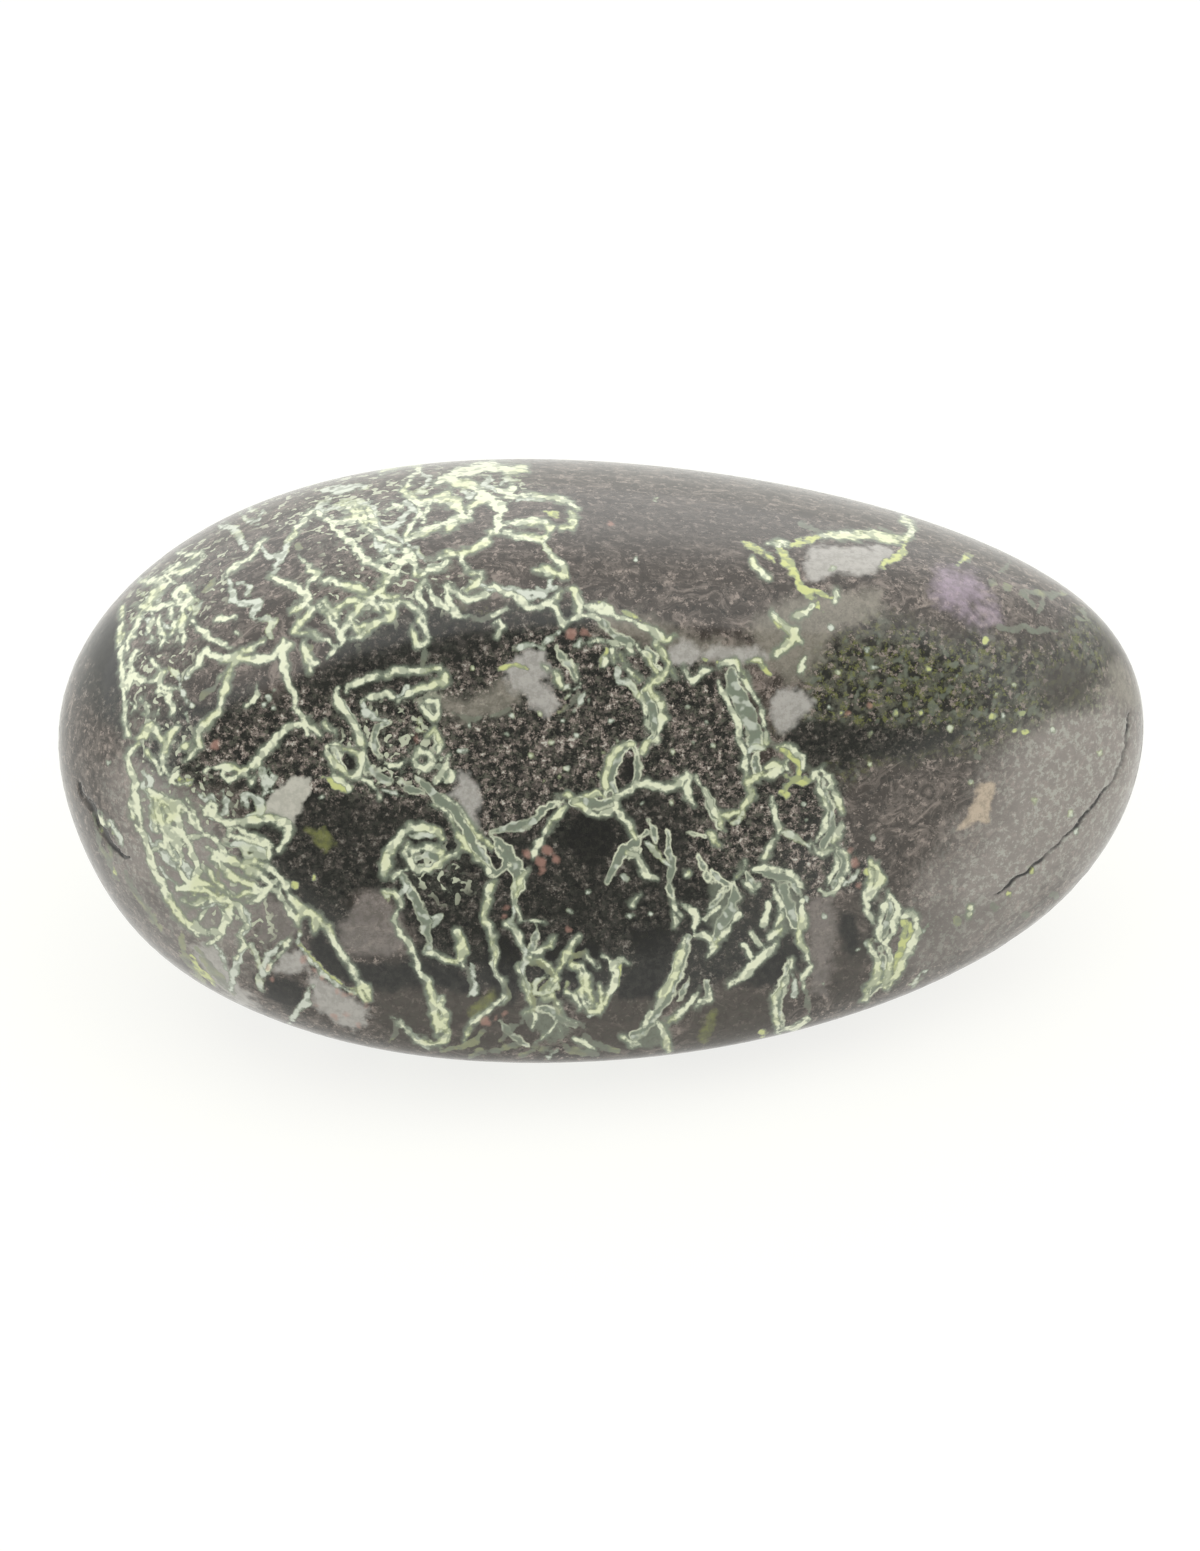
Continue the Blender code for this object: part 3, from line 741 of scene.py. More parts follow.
        (PALE, 2.8, (870, 944), (876, 955), (879, 968), (876, 980), (868, 990), (866, 1002)),
        (PALE, 2.8, (881, 941), (888, 950), (891, 962), (888, 975), (884, 987)),
        (MILKY, 3.0, (868, 944), (876, 940)),
        (LIME, 6.4, (910, 922), (912, 934), (909, 946), (903, 958)),
        (PALE, 3.0, (903, 916), (911, 913), (919, 920), (918, 932), (913, 945), (906, 957), (899, 970),
         (893, 982), (888, 988)),
        (LIME, 3.0, (903, 918), (906, 930), (902, 945), (899, 958), (896, 972)),
        (MILKY, 2.8, (912, 985), (919, 978), (926, 972)),
        (MILKY, 1.8, (924, 932), (929, 925)),
    ),
    "upper right vein": (
        (LIME, 2.6, (745, 543), (756, 548), (766, 554), (775, 560)),
        (LIME, 8.0, (780, 548), (785, 556), (791, 566), (797, 576)),
        (PALE, 3.2, (768, 543), (778, 542), (788, 543)),
        (PALE, 4.0, (752, 560), (757, 567), (763, 574), (769, 578)),
        (LIME, 3.6, (790, 543), (802, 542), (813, 539), (824, 535)),
        (PALE, 3.6, (822, 535), (838, 534), (852, 535), (866, 534), (880, 534), (892, 538), (904, 539)),
        (PALE, 4.6, (905, 538), (913, 532), (911, 524), (904, 518)),
        (LIME, 3.4, (906, 540), (904, 549), (897, 557), (888, 562), (880, 567)),
        (DULL, 2.2, (802, 523), (811, 527), (819, 531)),
        (LIME, 8.0, (799, 582), (806, 590), (813, 597)),
        (LIME, 4.4, (815, 590), (824, 595), (833, 597)),
        (PALE, 4.2, (834, 600), (838, 596), (837, 590)),
        (PALE, 4.0, (812, 604), (807, 611), (800, 614), (795, 616)),
        (LIME, 2.8, (818, 604), (822, 610)),
        (MILKY, 3.8, (774, 612), (778, 618), (784, 622), (789, 628)),
        (PALE, 5.0, (789, 627), (794, 634), (797, 628)),
        (PALE, 3.4, (797, 637), (801, 640)),
        (LIME, 3.2, (776, 622), (780, 628)),
        (PALE, 4.6, (787, 640), (783, 648), (777, 655)),
        (PALE, 3.2, (806, 655), (804, 663), (800, 672)),
        (LIME, 3.0, (762, 662), (766, 667), (770, 674)),
        (PALE, 2.6, (750, 660), (758, 660), (764, 664)),
    ),
    "right end faint lines": (
        (DULL, 2.4, (1000, 572), (1008, 567), (1010, 562)),
        (DULL, 2.6, (1022, 592), (1029, 598), (1034, 604)),
        (DULL, 2.4, (1025, 590), (1040, 592), (1055, 594), (1068, 592)),
        (DULL, 2.4, (1045, 594), (1043, 604), (1039, 614)),
        (DULL, 2.4, (1084, 610), (1087, 620), (1080, 618)),
        (DULL, 2.2, (995, 628), (1010, 629), (1025, 628), (1040, 630), (1056, 631)),
        (LIME, 2.6, (958, 565), (966, 556), (972, 555)),
    ),
}

# Round spots: each is its kind, radius, and place, in pixels
SPOTS = {
    "left": (
        (MILKY, 2.4, 108, 762), (PALE, 2.4, 183, 747), (MILKY, 2.2, 268, 697), (MILKY, 2.2, 274, 690),
        (MILKY, 2.2, 263, 704), (MILKY, 2.0, 272, 708), (LIME, 3.0, 114, 832), (LIME, 3.0, 114, 872),
        (MILKY, 2.4, 420, 720), (MILKY, 2.4, 322, 796), (MILKY, 2.4, 488, 789), (MILKY, 2.2, 470, 725),
        (MILKY, 2.2, 473, 667), (MILKY, 2.4, 458, 752), (LIME, 3.5, 294, 885), (LIME, 3.0, 313, 877),
        (DULL, 4.0, 298, 546), (DULL, 4.0, 308, 646),
    ),
    "middle": (
        (MILKY, 2.6, 512, 714), (MILKY, 2.0, 506, 734), (MILKY, 2.4, 564, 720), (MILKY, 2.2, 553, 742),
        (MILKY, 2.2, 603, 752), (MILKY, 2.2, 617, 740), (MILKY, 2.4, 567, 768), (MILKY, 2.0, 560, 777),
        (MILKY, 2.4, 688, 705), (MILKY, 2.4, 706, 723), (MILKY, 2.2, 671, 752), (MILKY, 2.0, 642, 803),
        (MILKY, 2.0, 671, 803), (MILKY, 2.2, 694, 742), (MILKY, 2.2, 713, 745), (MILKY, 4.0, 626, 878),
        (MILKY, 3.6, 630, 915), (MILKY, 2.8, 651, 915), (MILKY, 3.0, 587, 892), (MILKY, 3.2, 571, 911),
        (MILKY, 2.6, 635, 559), (MILKY, 2.2, 655, 498), (PALE, 2.8, 688, 873), (LIME, 3.0, 567, 986),
        (MILKY, 2.4, 540, 712), (MILKY, 2.0, 589, 700), (MILKY, 2.0, 577, 735), (MILKY, 2.2, 530, 755),
        (MILKY, 2.0, 545, 780), (MILKY, 2.0, 610, 722), (MILKY, 2.0, 520, 690), (MILKY, 2.0, 598, 775),
    ),
    "right": (
        (LIME, 5.0, 1022, 713), (LIME, 4.6, 993, 716), (LIME, 4.0, 1015, 730), (LIME, 4.0, 1027, 732),
        (LIME, 3.6, 986, 641), (LIME, 3.6, 931, 669), (LIME, 4.2, 895, 712), (LIME, 3.6, 923, 712),
        (LIME, 3.6, 929, 668), (LIME, 2.6, 842, 712), (LIME, 2.4, 870, 732), (DULL, 4.0, 973, 667),
        (DULL, 3.6, 955, 664), (DULL, 3.6, 977, 756), (DULL, 4.0, 1009, 587), (DULL, 3.6, 993, 582),
        (DULL, 4.6, 969, 556), (MILKY, 3.0, 951, 728), (MILKY, 2.4, 1004, 714), (MILKY, 2.2, 957, 675),
        (MILKY, 2.2, 990, 680), (MILKY, 2.2, 1015, 683), (MILKY, 2.4, 997, 692), (MILKY, 3.2, 973, 783),
        (MILKY, 3.0, 835, 568), (MILKY, 3.0, 833, 627), (MILKY, 3.0, 1070, 813), (MILKY, 3.0, 1078, 832),
        (MILKY, 2.4, 1034, 801), (MILKY, 2.6, 1101, 753), (MILKY, 3.0, 1054, 730), (LIME, 3.6, 867, 873),
        (PALE, 4.0, 972, 908), (PALE, 3.6, 969, 915), (LIME, 3.6, 1008, 894), (DULL, 4.6, 995, 907),
        (LIME, 3.0, 1032, 869), (DULL, 3.6, 1027, 915), (DULL, 3.6, 957, 921), (DULL, 3.6, 1056, 895),
        (MILKY, 2.4, 858, 950), (MILKY, 2.2, 824, 984), (MILKY, 2.2, 824, 915), (MILKY, 3.0, 838, 671),
        (MILKY, 2.4, 876, 667), (MILKY, 3.0, 868, 648), (MILKY, 2.4, 829, 707), (MILKY, 2.2, 873, 838),
        (MILKY, 2.2, 807, 820), (MILKY, 2.2, 804, 803), (MILKY, 2.2, 871, 763), (LIME, 4.4, 763, 1033),
    ),
}

# Reddish and pink spots of iron-stained quartz: each is its radius and place, in pixels
BLUSH_SPOTS = (
    (1.8, 280, 950), (1.8, 274, 958), (1.8, 267, 967), (1.8, 272, 979), (1.8, 306, 958), (1.8, 313, 972),
    (1.8, 325, 982), (1.8, 337, 992), (1.8, 350, 993), (1.8, 311, 992), (1.8, 316, 1006), (1.8, 330, 1016),
    (2.2, 496, 1018), (2.2, 506, 1014),
    (5.0, 547, 850), (5.5, 540, 862), (4.6, 556, 858), (3.6, 542, 870), (4.0, 527, 855), (3.2, 569, 930),
    (3.4, 507, 907), (3.2, 505, 917), (4.0, 415, 738), (5.0, 856, 863), (3.4, 851, 850), (3.0, 848, 713),
    (3.0, 870, 705), (5.0, 215, 745), (6.0, 572, 633), (4.6, 585, 632), (4.0, 610, 523), (5.0, 485, 1022),
    (2.6, 568, 636), (2.6, 859, 885), (3.4, 303, 960), (3.0, 312, 970), (3.0, 345, 995), (3.0, 365, 1006),
    (3.0, 345, 1015), (3.0, 358, 1025), (2.6, 335, 1018), (3.0, 322, 978),
)

# Soft-edged zones of the dark green rock, in the mauve-grey ground that the rest of the stone is of
DARK_ZONES = {
    "middle": (
        (150, 725), (180, 696), (240, 690), (288, 700), (306, 668), (340, 634), (396, 612), (470, 610),
        (520, 606), (575, 600), (604, 632), (650, 655), (690, 655), (722, 664), (742, 705), (760, 760),
        (800, 775), (838, 790), (850, 850), (880, 880), (868, 960), (830, 965), (804, 985), (720, 978),
        (690, 1000), (650, 996), (610, 1012), (560, 1000), (480, 990), (440, 988), (380, 990), (330, 972),
        (312, 946), (270, 888), (232, 858), (248, 800), (200, 786), (164, 776), (140, 752),
    ),
    "foot of the right band": (
        (790, 712), (830, 712), (880, 722), (930, 726), (975, 722), (960, 742), (905, 758), (855, 768),
        (806, 764), (784, 740),
    ),
    "left end": ((106, 606), (119, 604), (123, 660), (124, 735), (100, 718), (84, 696), (88, 650)),
}

# Soft-edged zones of olive-grey rock, between the two in tone
BAND_ZONES = {
    "far right": (
        (1020, 650), (1060, 640), (1085, 610), (1100, 622), (1112, 650), (1104, 690), (1080, 706),
        (1040, 700),
    ),
    "right band": (
        (812, 652), (836, 632), (880, 624), (930, 630), (980, 632), (1006, 646), (1012, 666), (1050, 664),
        (1092, 664), (1104, 684), (1080, 706), (1040, 724), (990, 742), (930, 752), (892, 762), (850, 775),
        (806, 762), (784, 730), (800, 690),
    ),
    "above the middle": (
        (330, 650), (400, 622), (480, 610), (560, 600), (600, 640), (520, 650), (400, 668),
    ),
}

# Soft-edged zones of the dark rock that are thick with light grains
SPECKLED_ZONES = {
    "belt": (
        (150, 740), (300, 700), (420, 700), (500, 650), (600, 640), (700, 655), (745, 690), (750, 790),
        (700, 800), (640, 770), (560, 800), (480, 830), (400, 800), (300, 790), (200, 780),
    ),
    "foot": ((690, 800), (760, 780), (850, 800), (870, 880), (800, 900), (720, 870)),
}

# Zones where the ground is paler, which fade out over a couple of millimetres: partly the rock's own
# paler tone, partly a painted reflection of the light on the stone's ends
PALE_ZONES_WITH_PAINTED_REFLECTION = {
    "right end": (
        (1035, 700), (1110, 690), (1146, 740), (1140, 800), (1100, 860), (1040, 900), (960, 950),
        (905, 960), (940, 890), (990, 820), (1010, 760),
    ),
    "left flank": (
        (120, 770), (160, 770), (215, 830), (250, 890), (240, 950), (200, 945), (180, 930), (130, 860),
    ),
}

# Patches of mauve-grey ground within the dark zones
MAUVE_ISLES = {
    "left point": ((250, 913), (273, 897), (293, 903), (307, 923), (300, 937), (293, 947), (273, 960),
                   (260, 950), (248, 933)),
    "lower left": (
        (362, 884), (375, 884), (398, 905), (412, 940), (412, 956), (394, 962), (350, 958), (330, 944),
        (344, 912),
    ),
    "lower right": ((806, 908), (822, 892), (858, 890), (872, 930), (856, 975), (820, 990), (804, 950)),
    "under the ridge": ((640, 600), (700, 596), (760, 620), (770, 640), (700, 650), (652, 645)),
}

# Patches with a tone of their own, each with its tone and outline. Some paint light: shade over the top
# and along the foot, and a highlight along the ridge
PATCHES = {
    "smooth isle at the lower left": ("ash", (
        (362, 890), (376, 888), (394, 906), (406, 938), (406, 950), (390, 956), (352, 952), (334, 944),
        (344, 920),
    )),
    "smooth isle at the lower right": ("ash", (
        (808, 902), (830, 896), (838, 920), (832, 960), (826, 996), (812, 992), (808, 950),
    )),
    "pale rock of the left flank": ("ash", (
        (142, 800), (168, 848), (190, 880), (232, 898), (240, 925), (214, 935), (190, 915), (160, 870),
        (140, 830),
    )),
    "grey rock on the left flank": ("ash", (
        (252, 905), (272, 900), (290, 906), (302, 924), (290, 944), (262, 946),
    )),
    "cloudy streak of the swirl": ("cloud", (
        (436, 692), (462, 700), (492, 688), (520, 668), (534, 676), (520, 700), (496, 716), (464, 722),
        (440, 710),
    )),
    # Partly dull brown rock, partly painted shade: darker along the foot of the stone, where it rests
    "dull rock and painted shade at the foot, left": ("umber", (
        (374, 982), (430, 984), (480, 990), (530, 1000), (540, 1040), (480, 1058), (400, 1050),
        (376, 1030),
    )),
    "dull rock and painted shade at the foot, middle": ("umber", (
        (590, 990), (640, 986), (668, 1000), (644, 1054), (600, 1058), (576, 1040),
    )),
    "dull rock and painted shade at the foot, right": ("umber", (
        (690, 996), (750, 984), (786, 990), (792, 1036), (720, 1052), (680, 1048),
    )),
    "dull rock left of the last veins": ("umber", (
        (832, 930), (860, 900), (866, 960), (860, 1000), (836, 1004),
    )),
    "milky quartz on the left": ("milk", (
        (262, 810), (270, 797), (280, 786), (292, 777), (308, 775), (310, 788), (301, 806), (293, 822),
        (280, 818), (266, 815),
    )),
    "blue-grey quartz at the lower left": ("quartz", (
        (190, 947), (207, 942), (218, 947), (227, 960), (233, 980), (247, 993), (260, 1008), (240, 1006),
        (220, 990), (206, 973), (194, 960),
    )),
    "quartz under the left point": ("quartz", (
        (283, 953), (300, 950), (307, 963), (300, 973), (278, 973), (273, 966),
    )),
    "quartz along the foot": ("quartz", (
        (304, 966), (322, 978), (338, 990), (354, 998), (368, 1008), (366, 1024), (350, 1030),
        (330, 1020), (314, 1006),
    )),
    "dark patch at the lower left": ("black", (
        (267, 980), (280, 976), (294, 978), (306, 987), (303, 1000), (290, 1014), (277, 1007), (266, 994),
    )),
    "dark band under the isle": ("black", (
        (318, 957), (346, 964), (374, 963), (398, 963), (425, 961), (452, 968), (474, 983), (482, 996),
        (450, 990), (420, 984), (398, 990), (370, 988), (346, 982), (326, 972),
    )),
    "olive patch at the foot": ("moss", (
        (468, 1012), (480, 998), (494, 988), (498, 994), (488, 1010), (478, 1022),
    )),
    "dark rock at the left point": ("black", (
        (318, 930), (332, 948), (350, 972), (356, 984), (338, 978), (322, 968), (306, 948),
    )),
    "cloudy quartz above the middle": ("quartz", (
        (505, 670), (515, 655), (530, 648), (545, 650), (552, 668), (540, 680), (545, 695), (555, 700),
        (545, 712), (535, 708), (525, 695), (510, 690),
    )),
    "quartz at the ribbon's head": ("quartz", (
        (665, 655), (672, 645), (685, 640), (695, 645), (703, 648), (698, 660), (690, 665), (680, 665),
        (670, 662),
    )),
    "quartz band under the ridge": ("quartz", (
        (700, 648), (730, 647), (758, 649), (766, 657), (742, 661), (716, 659), (702, 657),
    )),
    "quartz beside the tall ribbon": ("quartz", (
        (775, 690), (790, 687), (806, 692), (814, 702), (808, 712), (797, 722), (788, 730), (778, 735),
        (775, 725), (772, 710),
    )),
    "heart of the swirl": ("quartz", (
        (526, 692), (540, 682), (554, 690), (558, 704), (548, 714), (532, 708),
    )),
    "quartz in the middle": ("quartz", (
        (458, 770), (468, 775), (478, 790), (482, 800), (474, 812), (476, 828), (470, 828), (464, 812),
        (455, 800), (448, 795), (457, 785),
    )),
    "pale patch under the upper right vein": ("quartz", (
        (813, 547), (836, 545), (852, 548), (881, 545), (895, 550), (884, 563), (871, 574), (852, 574),
        (836, 573), (823, 579), (813, 582), (807, 573), (804, 563),
    )),
    "smooth grey patch": ("cloud", (
        (800, 620), (812, 616), (822, 622), (820, 640), (806, 645), (798, 634),
    )),
    "lilac patch": ("lilac", (
        (940, 569), (959, 569), (972, 577), (983, 587), (988, 598), (978, 594), (969, 595), (967, 605),
        (978, 618), (985, 626), (972, 619), (959, 606), (946, 603), (935, 595),
    )),
    "lilac lobe": ("lilac", ((978, 602), (995, 605), (999, 613), (999, 622), (991, 624))),
    "beige inclusion": ("beige", (
        (983, 784), (995, 784), (996, 793), (993, 801), (991, 811), (990, 821), (980, 822), (969, 825),
        (961, 829), (959, 824), (969, 814), (972, 805), (977, 793),
    )),
    "lime patch on the left": ("moss", (
        (305, 830), (312, 828), (325, 828), (335, 842), (325, 852), (318, 845),
    )),
    "grey-green patch": ("sage", ((425, 700), (437, 702), (434, 718), (427, 716))),
    "blue-grey patch at the lower left": ("cloud", (
        (190, 950), (205, 945), (220, 945), (226, 975), (235, 990), (225, 988), (213, 970), (200, 958),
    )),
    "grey-green body": ("sage", (
        (776, 880), (790, 880), (797, 893), (803, 905), (806, 920), (803, 935), (800, 942), (790, 930),
        (782, 932), (775, 925), (782, 912), (785, 900), (777, 895),
    )),
    "dark rock beside the foot of the branch": ("black", (
        (612, 988), (640, 966), (668, 950), (668, 974), (655, 998), (622, 1000),
    )),
    # Painted shade: a darker tone laid over the top of the stone
    "painted shade over the top": ("slate", (
        (560, 500), (640, 490), (740, 502), (860, 532), (880, 552), (800, 560), (740, 560), (700, 572),
        (640, 566), (580, 556),
    )),
    "darker rock at the lower right": ("slate", (
        (900, 918), (960, 905), (1000, 905), (960, 945), (905, 960),
    )),
    "black rock at the foot, right": ("black", (
        (742, 962), (770, 950), (798, 944), (802, 966), (770, 986), (742, 986),
    )),
    "black rock beside the middle stem": ("black", (
        (484, 930), (506, 934), (520, 956), (522, 990), (512, 1004), (498, 1000), (484, 976),
    )),
    "black rock in the lower loops": ("black", (
        (534, 962), (556, 944), (600, 944), (606, 964), (596, 984), (560, 986), (538, 980),
    )),
    "black rock left of the branch": ("black", (
        (630, 930), (664, 926), (676, 946), (664, 966), (636, 966),
    )),
    "black rock at the left end": ("black", (
        (94, 646), (106, 618), (117, 612), (120, 660), (117, 690), (104, 684), (93, 668),
    )),
    # Painted highlight: a paler tone along the ridge, standing in for the soft reflection of the light
    # there
    "painted highlight along the ridge": ("cloud", (
        (596, 606), (650, 616), (700, 640), (760, 648), (752, 622), (790, 596), (880, 590), (884, 612),
        (836, 630), (822, 664), (790, 682), (765, 664), (700, 662), (640, 640), (600, 630),
    )),
    "dull tip of the band": ("umber", (
        (1050, 664), (1078, 656), (1096, 672), (1084, 700), (1056, 710), (1038, 690),
    )),
    "dark spot at the right tip": ("umber", (
        (1094, 634), (1108, 628), (1122, 652), (1124, 666), (1106, 662),
    )),
    "grey-green fan at the foot": ("sage", (
        (524, 1006), (545, 1000), (562, 1010), (572, 1030), (556, 1042), (536, 1032),
    )),
    "grey-green foot of the branch": ("sage", (
        (628, 1042), (640, 1026), (655, 1012), (668, 1022), (672, 1044), (650, 1048),
    )),
    "olive strokes at the foot": ("moss", (
        (698, 1038), (704, 1018), (716, 1010), (712, 1026), (706, 1042),
    )),
    "black hollow on the right": ("black", ((840, 914), (855, 912), (861, 938), (857, 958), (846, 954))),
    "grey-green patch left of it": ("sage", (
        (710, 873), (720, 875), (734, 882), (742, 891), (744, 901), (734, 914), (726, 924), (718, 936),
        (710, 946),
    )),
    "pale end": ("cloud", ((1110, 664), (1122, 660), (1138, 684), (1142, 704), (1124, 704), (1112, 688))),
    "black heart": ("black", (
        (585, 808), (600, 816), (618, 832), (612, 850), (596, 866), (578, 860), (562, 840), (570, 820),
    )),
    "black hollow in the ring": ("black", ((344, 752), (354, 752), (357, 764), (350, 772), (342, 766))),
    "black hollow by the ribbon": ("black", ((624, 752), (634, 756), (636, 772), (628, 782), (620, 776))),
}

# How each patch tone looks: how soft its edge is in millimetres, how much it covers and how grainy it is
PATCH_LOOKS = {
    "slate": (0.6, 0.4, 0.1),
    "umber": (0.35, 0.75, 0.3),
    "ash": (0.2, 0.65, 0.35),
    "cloud": (0.3, 0.75, 0.35),
    "quartz": (0.14, 0.9, 0.25),
    "milk": (0.08, 0.95, 0.2),
    "sage": (0.12, 0.85, 0.4),
    "lilac": (0.4, 0.75, 0.3),
    "beige": (0.09, 0.9, 0.35),
    "moss": (0.12, 0.7, 0.5),
    "black": (0.14, 0.92, 0.15),
}

# Where a net of hair-fine veins fills the ground between the drawn ones
NET_ZONES = {
    "left edge": (
        (120, 590), (180, 545), (230, 520), (250, 540), (220, 590), (200, 640), (185, 700), (190, 760),
        (240, 790), (240, 860), (290, 930), (250, 960), (190, 900), (140, 820), (122, 740),
    ),
    "top": (
        (240, 505), (330, 474), (420, 458), (510, 458), (540, 486), (490, 504), (430, 502), (396, 522),
        (392, 552), (440, 566), (490, 588), (400, 620), (340, 640), (290, 600), (330, 560), (300, 530),
        (250, 530),
    ),
    "middle": (
        (330, 740), (380, 700), (430, 690), (440, 720), (430, 790), (400, 790), (340, 780),
    ),
    "crescent": ((410, 850), (450, 850), (470, 880), (455, 910), (425, 905), (408, 880)),
}

# The soft-edged zones, under the names of their attributes
SOFT_ZONES = {
    "band": BAND_ZONES,
    "speckled": SPECKLED_ZONES,
    "pale_ground": PALE_ZONES_WITH_PAINTED_REFLECTION,
    "net": NET_ZONES,
}

# Hairline cracks, each half its width and its course
CRACKS = {
    "left": (2.2, (77, 783), (80, 792), (88, 803), (93, 812), (97, 822), (103, 832), (108, 842), (115, 850),
             (122, 856), (128, 858)),
    "right": (1.2, (1131, 712), (1129, 728), (1127, 745), (1124, 759), (1119, 771), (1112, 782),
              (1104, 795), (1098, 801), (1090, 812), (1082, 822), (1075, 832), (1065, 838), (1057, 848),
              (1049, 854), (1033, 868), (1020, 877), (1003, 891), (993, 896)),
}


def linear(hex_colour):
    """An sRGB hex colour as linear red, green, blue and alpha."""
    parts = [int(hex_colour[i : i + 2], 16) / 255 for i in (1, 3, 5)]
    return [c / 12.92 if c <= 0.04045 else ((c + 0.055) / 1.055) ** 2.4 for c in parts] + [1.0]


def colour_property(name, description, hex_colour):
    """A colour for the sidebar, written as sRGB hex."""
    return bpy.props.FloatVectorProperty(
        name=name, description=description, default=linear(hex_colour), size=4, subtype="COLOR",
        min=0.0, max=1.0,
    )


class StoneColours(bpy.types.PropertyGroup):
    mauve: colour_property("Mauve ground", "The fine mauve-grey rock of the outer parts", "#665E57")
    # Partly the paler rock of the ends, partly a painted reflection there
    pale_ground: colour_property("Pale ground", "The paler rock of the right end", "#9B948E")
    # Umber also darkens the foot of the stone: partly its dull brown rock, partly painted shade
    umber: colour_property("Dark mauve ground", "Darker bands in the mauve-grey rock", "#3D3731")
    green_black: colour_property("Green-black ground", "The dark rock of the middle", "#22231E")
    olive: colour_property("Olive grain", "Lighter grains of the dark rock", "#56574B")
    tan: colour_property("Tan grain", "Pinkish light grains", "#94887F")
    brown: colour_property("Brown grain", "Brown-grey grains of the dark rock", "#635B55")
    pale: colour_property("Pale vein", "Pale yellow-green veins", "#DFE3C7")
    ribbon: colour_property("Ribbon", "Grey-green heart of the wide veins", "#7B8574")
    milky: colour_property("Milky vein", "Milky white veins", "#D2D8CA")
    lime: colour_property("Lime vein", "Yellow-green veins and flecks", "#C6CC88")
    dull: colour_property("Dull vein", "Faint grey-green veins", "#74786A")
    quartz: colour_property("Quartz", "Light grey quartz patches", "#B2AFA9")
    milk: colour_property("Milky quartz", "Nearly white quartz patch on the left", "#C2C0B4")
    # Cloudy quartz also serves as the painted highlight along the ridge
    cloud: colour_property("Cloudy quartz", "Clouded grey-beige patches", "#8F8A7E")
    lilac: colour_property("Lilac", "Lilac-grey patch near the right end", "#A797A6")
    beige: colour_property("Beige", "Beige inclusion", "#C0AF9A")
    moss: colour_property("Moss", "Olive patch in the black rock", "#7D8248")
    sage: colour_property("Sage", "Grey-green patches", "#6F7667")
    # Slate also serves as painted shade over the top of the stone
    slate: colour_property("Slate", "Darker mauve-grey rock", "#3C3733")
    ash: colour_property("Ash", "Smooth mauve-grey isles", "#87807B")
    black: colour_property("Black", "Black hollows in the veins", "#121210")
    blush: colour_property("Blush", "Iron-stained quartz spots", "#B0887A")


class StoneSurface(bpy.types.PropertyGroup):
    edge_on_show: bpy.props.FloatProperty(
        name="Edge length on show", description="Triangle edge beside a vein on the front",
        default=3.4 / PIXELS_PER_MM * MM, subtype="DISTANCE", unit="LENGTH",
    )
    edge_behind: bpy.props.FloatProperty(
        name="Edge length behind", description="Triangle edge beside a vein on the hidden sides",
        default=9.5 / PIXELS_PER_MM * MM, subtype="DISTANCE", unit="LENGTH",
    )
    crack_depth: bpy.props.FloatProperty(
        name="Crack depth", description="How deep the hairline cracks are open",
        default=0.07 * MM, subtype="DISTANCE", unit="LENGTH",
    )
    polish: bpy.props.FloatProperty(
        name="Roughness", description="Roughness of the polished surface", default=0.16, min=0, max=1,
    )


class StageSettings(bpy.types.PropertyGroup):
    floor_radius: bpy.props.FloatProperty(
        name="Floor radius", description="Radius of the pale floor", default=3.0, unit="LENGTH",
    )
    tent: bpy.props.FloatProperty(
        name="Tent", description="Brightness of the light tent's walls", default=1.4, min=0,
    )
    softbox: bpy.props.FloatProperty(
        name="Softbox", description="Brightness of the light over the tent", default=1.6, min=0,
    )
    opening: bpy.props.FloatProperty(
        name="Opening", description="Brightness of the tent's open front", default=0.3, min=0,
    )


def side(turn, rise):
    """The direction that looks turn degrees right of the front and rise degrees up."""
    turn, rise = math.radians(turn), math.radians(rise)
    return np.array(
        (math.sin(turn) * math.cos(rise), -math.cos(turn) * math.cos(rise), math.sin(rise))
    )


FACE_SIDES = [(side(turn, rise), distance) for turn, rise, distance in SOFT_FACES.values()]

# The camera's axes, and the point that the middle of its frame looks at, in mm from the stone's middle
TO_CAMERA = side(0, CAMERA_RISE)
ACROSS = np.array((1.0, 0.0, 0.0))
UPWARDS = np.cross(TO_CAMERA, ACROSS)
FRAME_OFFSET = (FRAME_SIZE / 2 - STONE_MIDDLE) / PIXELS_PER_MM
AIM = ACROSS * FRAME_OFFSET[0] - UPWARDS * FRAME_OFFSET[1]


def settle(points):
    """Points moved along their own direction on to the stone's surface, with the surface's normals."""
    way = points / np.linalg.norm(points, axis=1, keepdims=True)
    total = np.linalg.norm(way / BODY, axis=1) ** EDGE_CRISPNESS
    for face_side, distance in FACE_SIDES:
        total += (np.maximum(0, way @ face_side) / distance) ** EDGE_CRISPNESS
    placed = way * (total ** (-1 / EDGE_CRISPNESS))[:, None]
    body = np.linalg.norm(placed / BODY, axis=1, keepdims=True)
    slope = body ** (EDGE_CRISPNESS - 2) * placed / BODY**2
    for face_side, distance in FACE_SIDES:
        share = np.maximum(0, placed @ face_side) / distance
        slope += (share ** (EDGE_CRISPNESS - 1))[:, None] * face_side / distance
    return placed, slope / np.linalg.norm(slope, axis=1, keepdims=True)


def frame_place(points):
    """Where points show in the photograph's frame, in pixels."""
    seen = points - AIM
    scale = PIXELS_PER_MM * CAMERA_DISTANCE / (CAMERA_DISTANCE - seen @ TO_CAMERA)
    middle = FRAME_SIZE / 2
    return np.stack((middle[0] + scale * (seen @ ACROSS), middle[1] - scale * (seen @ UPWARDS)), axis=1)


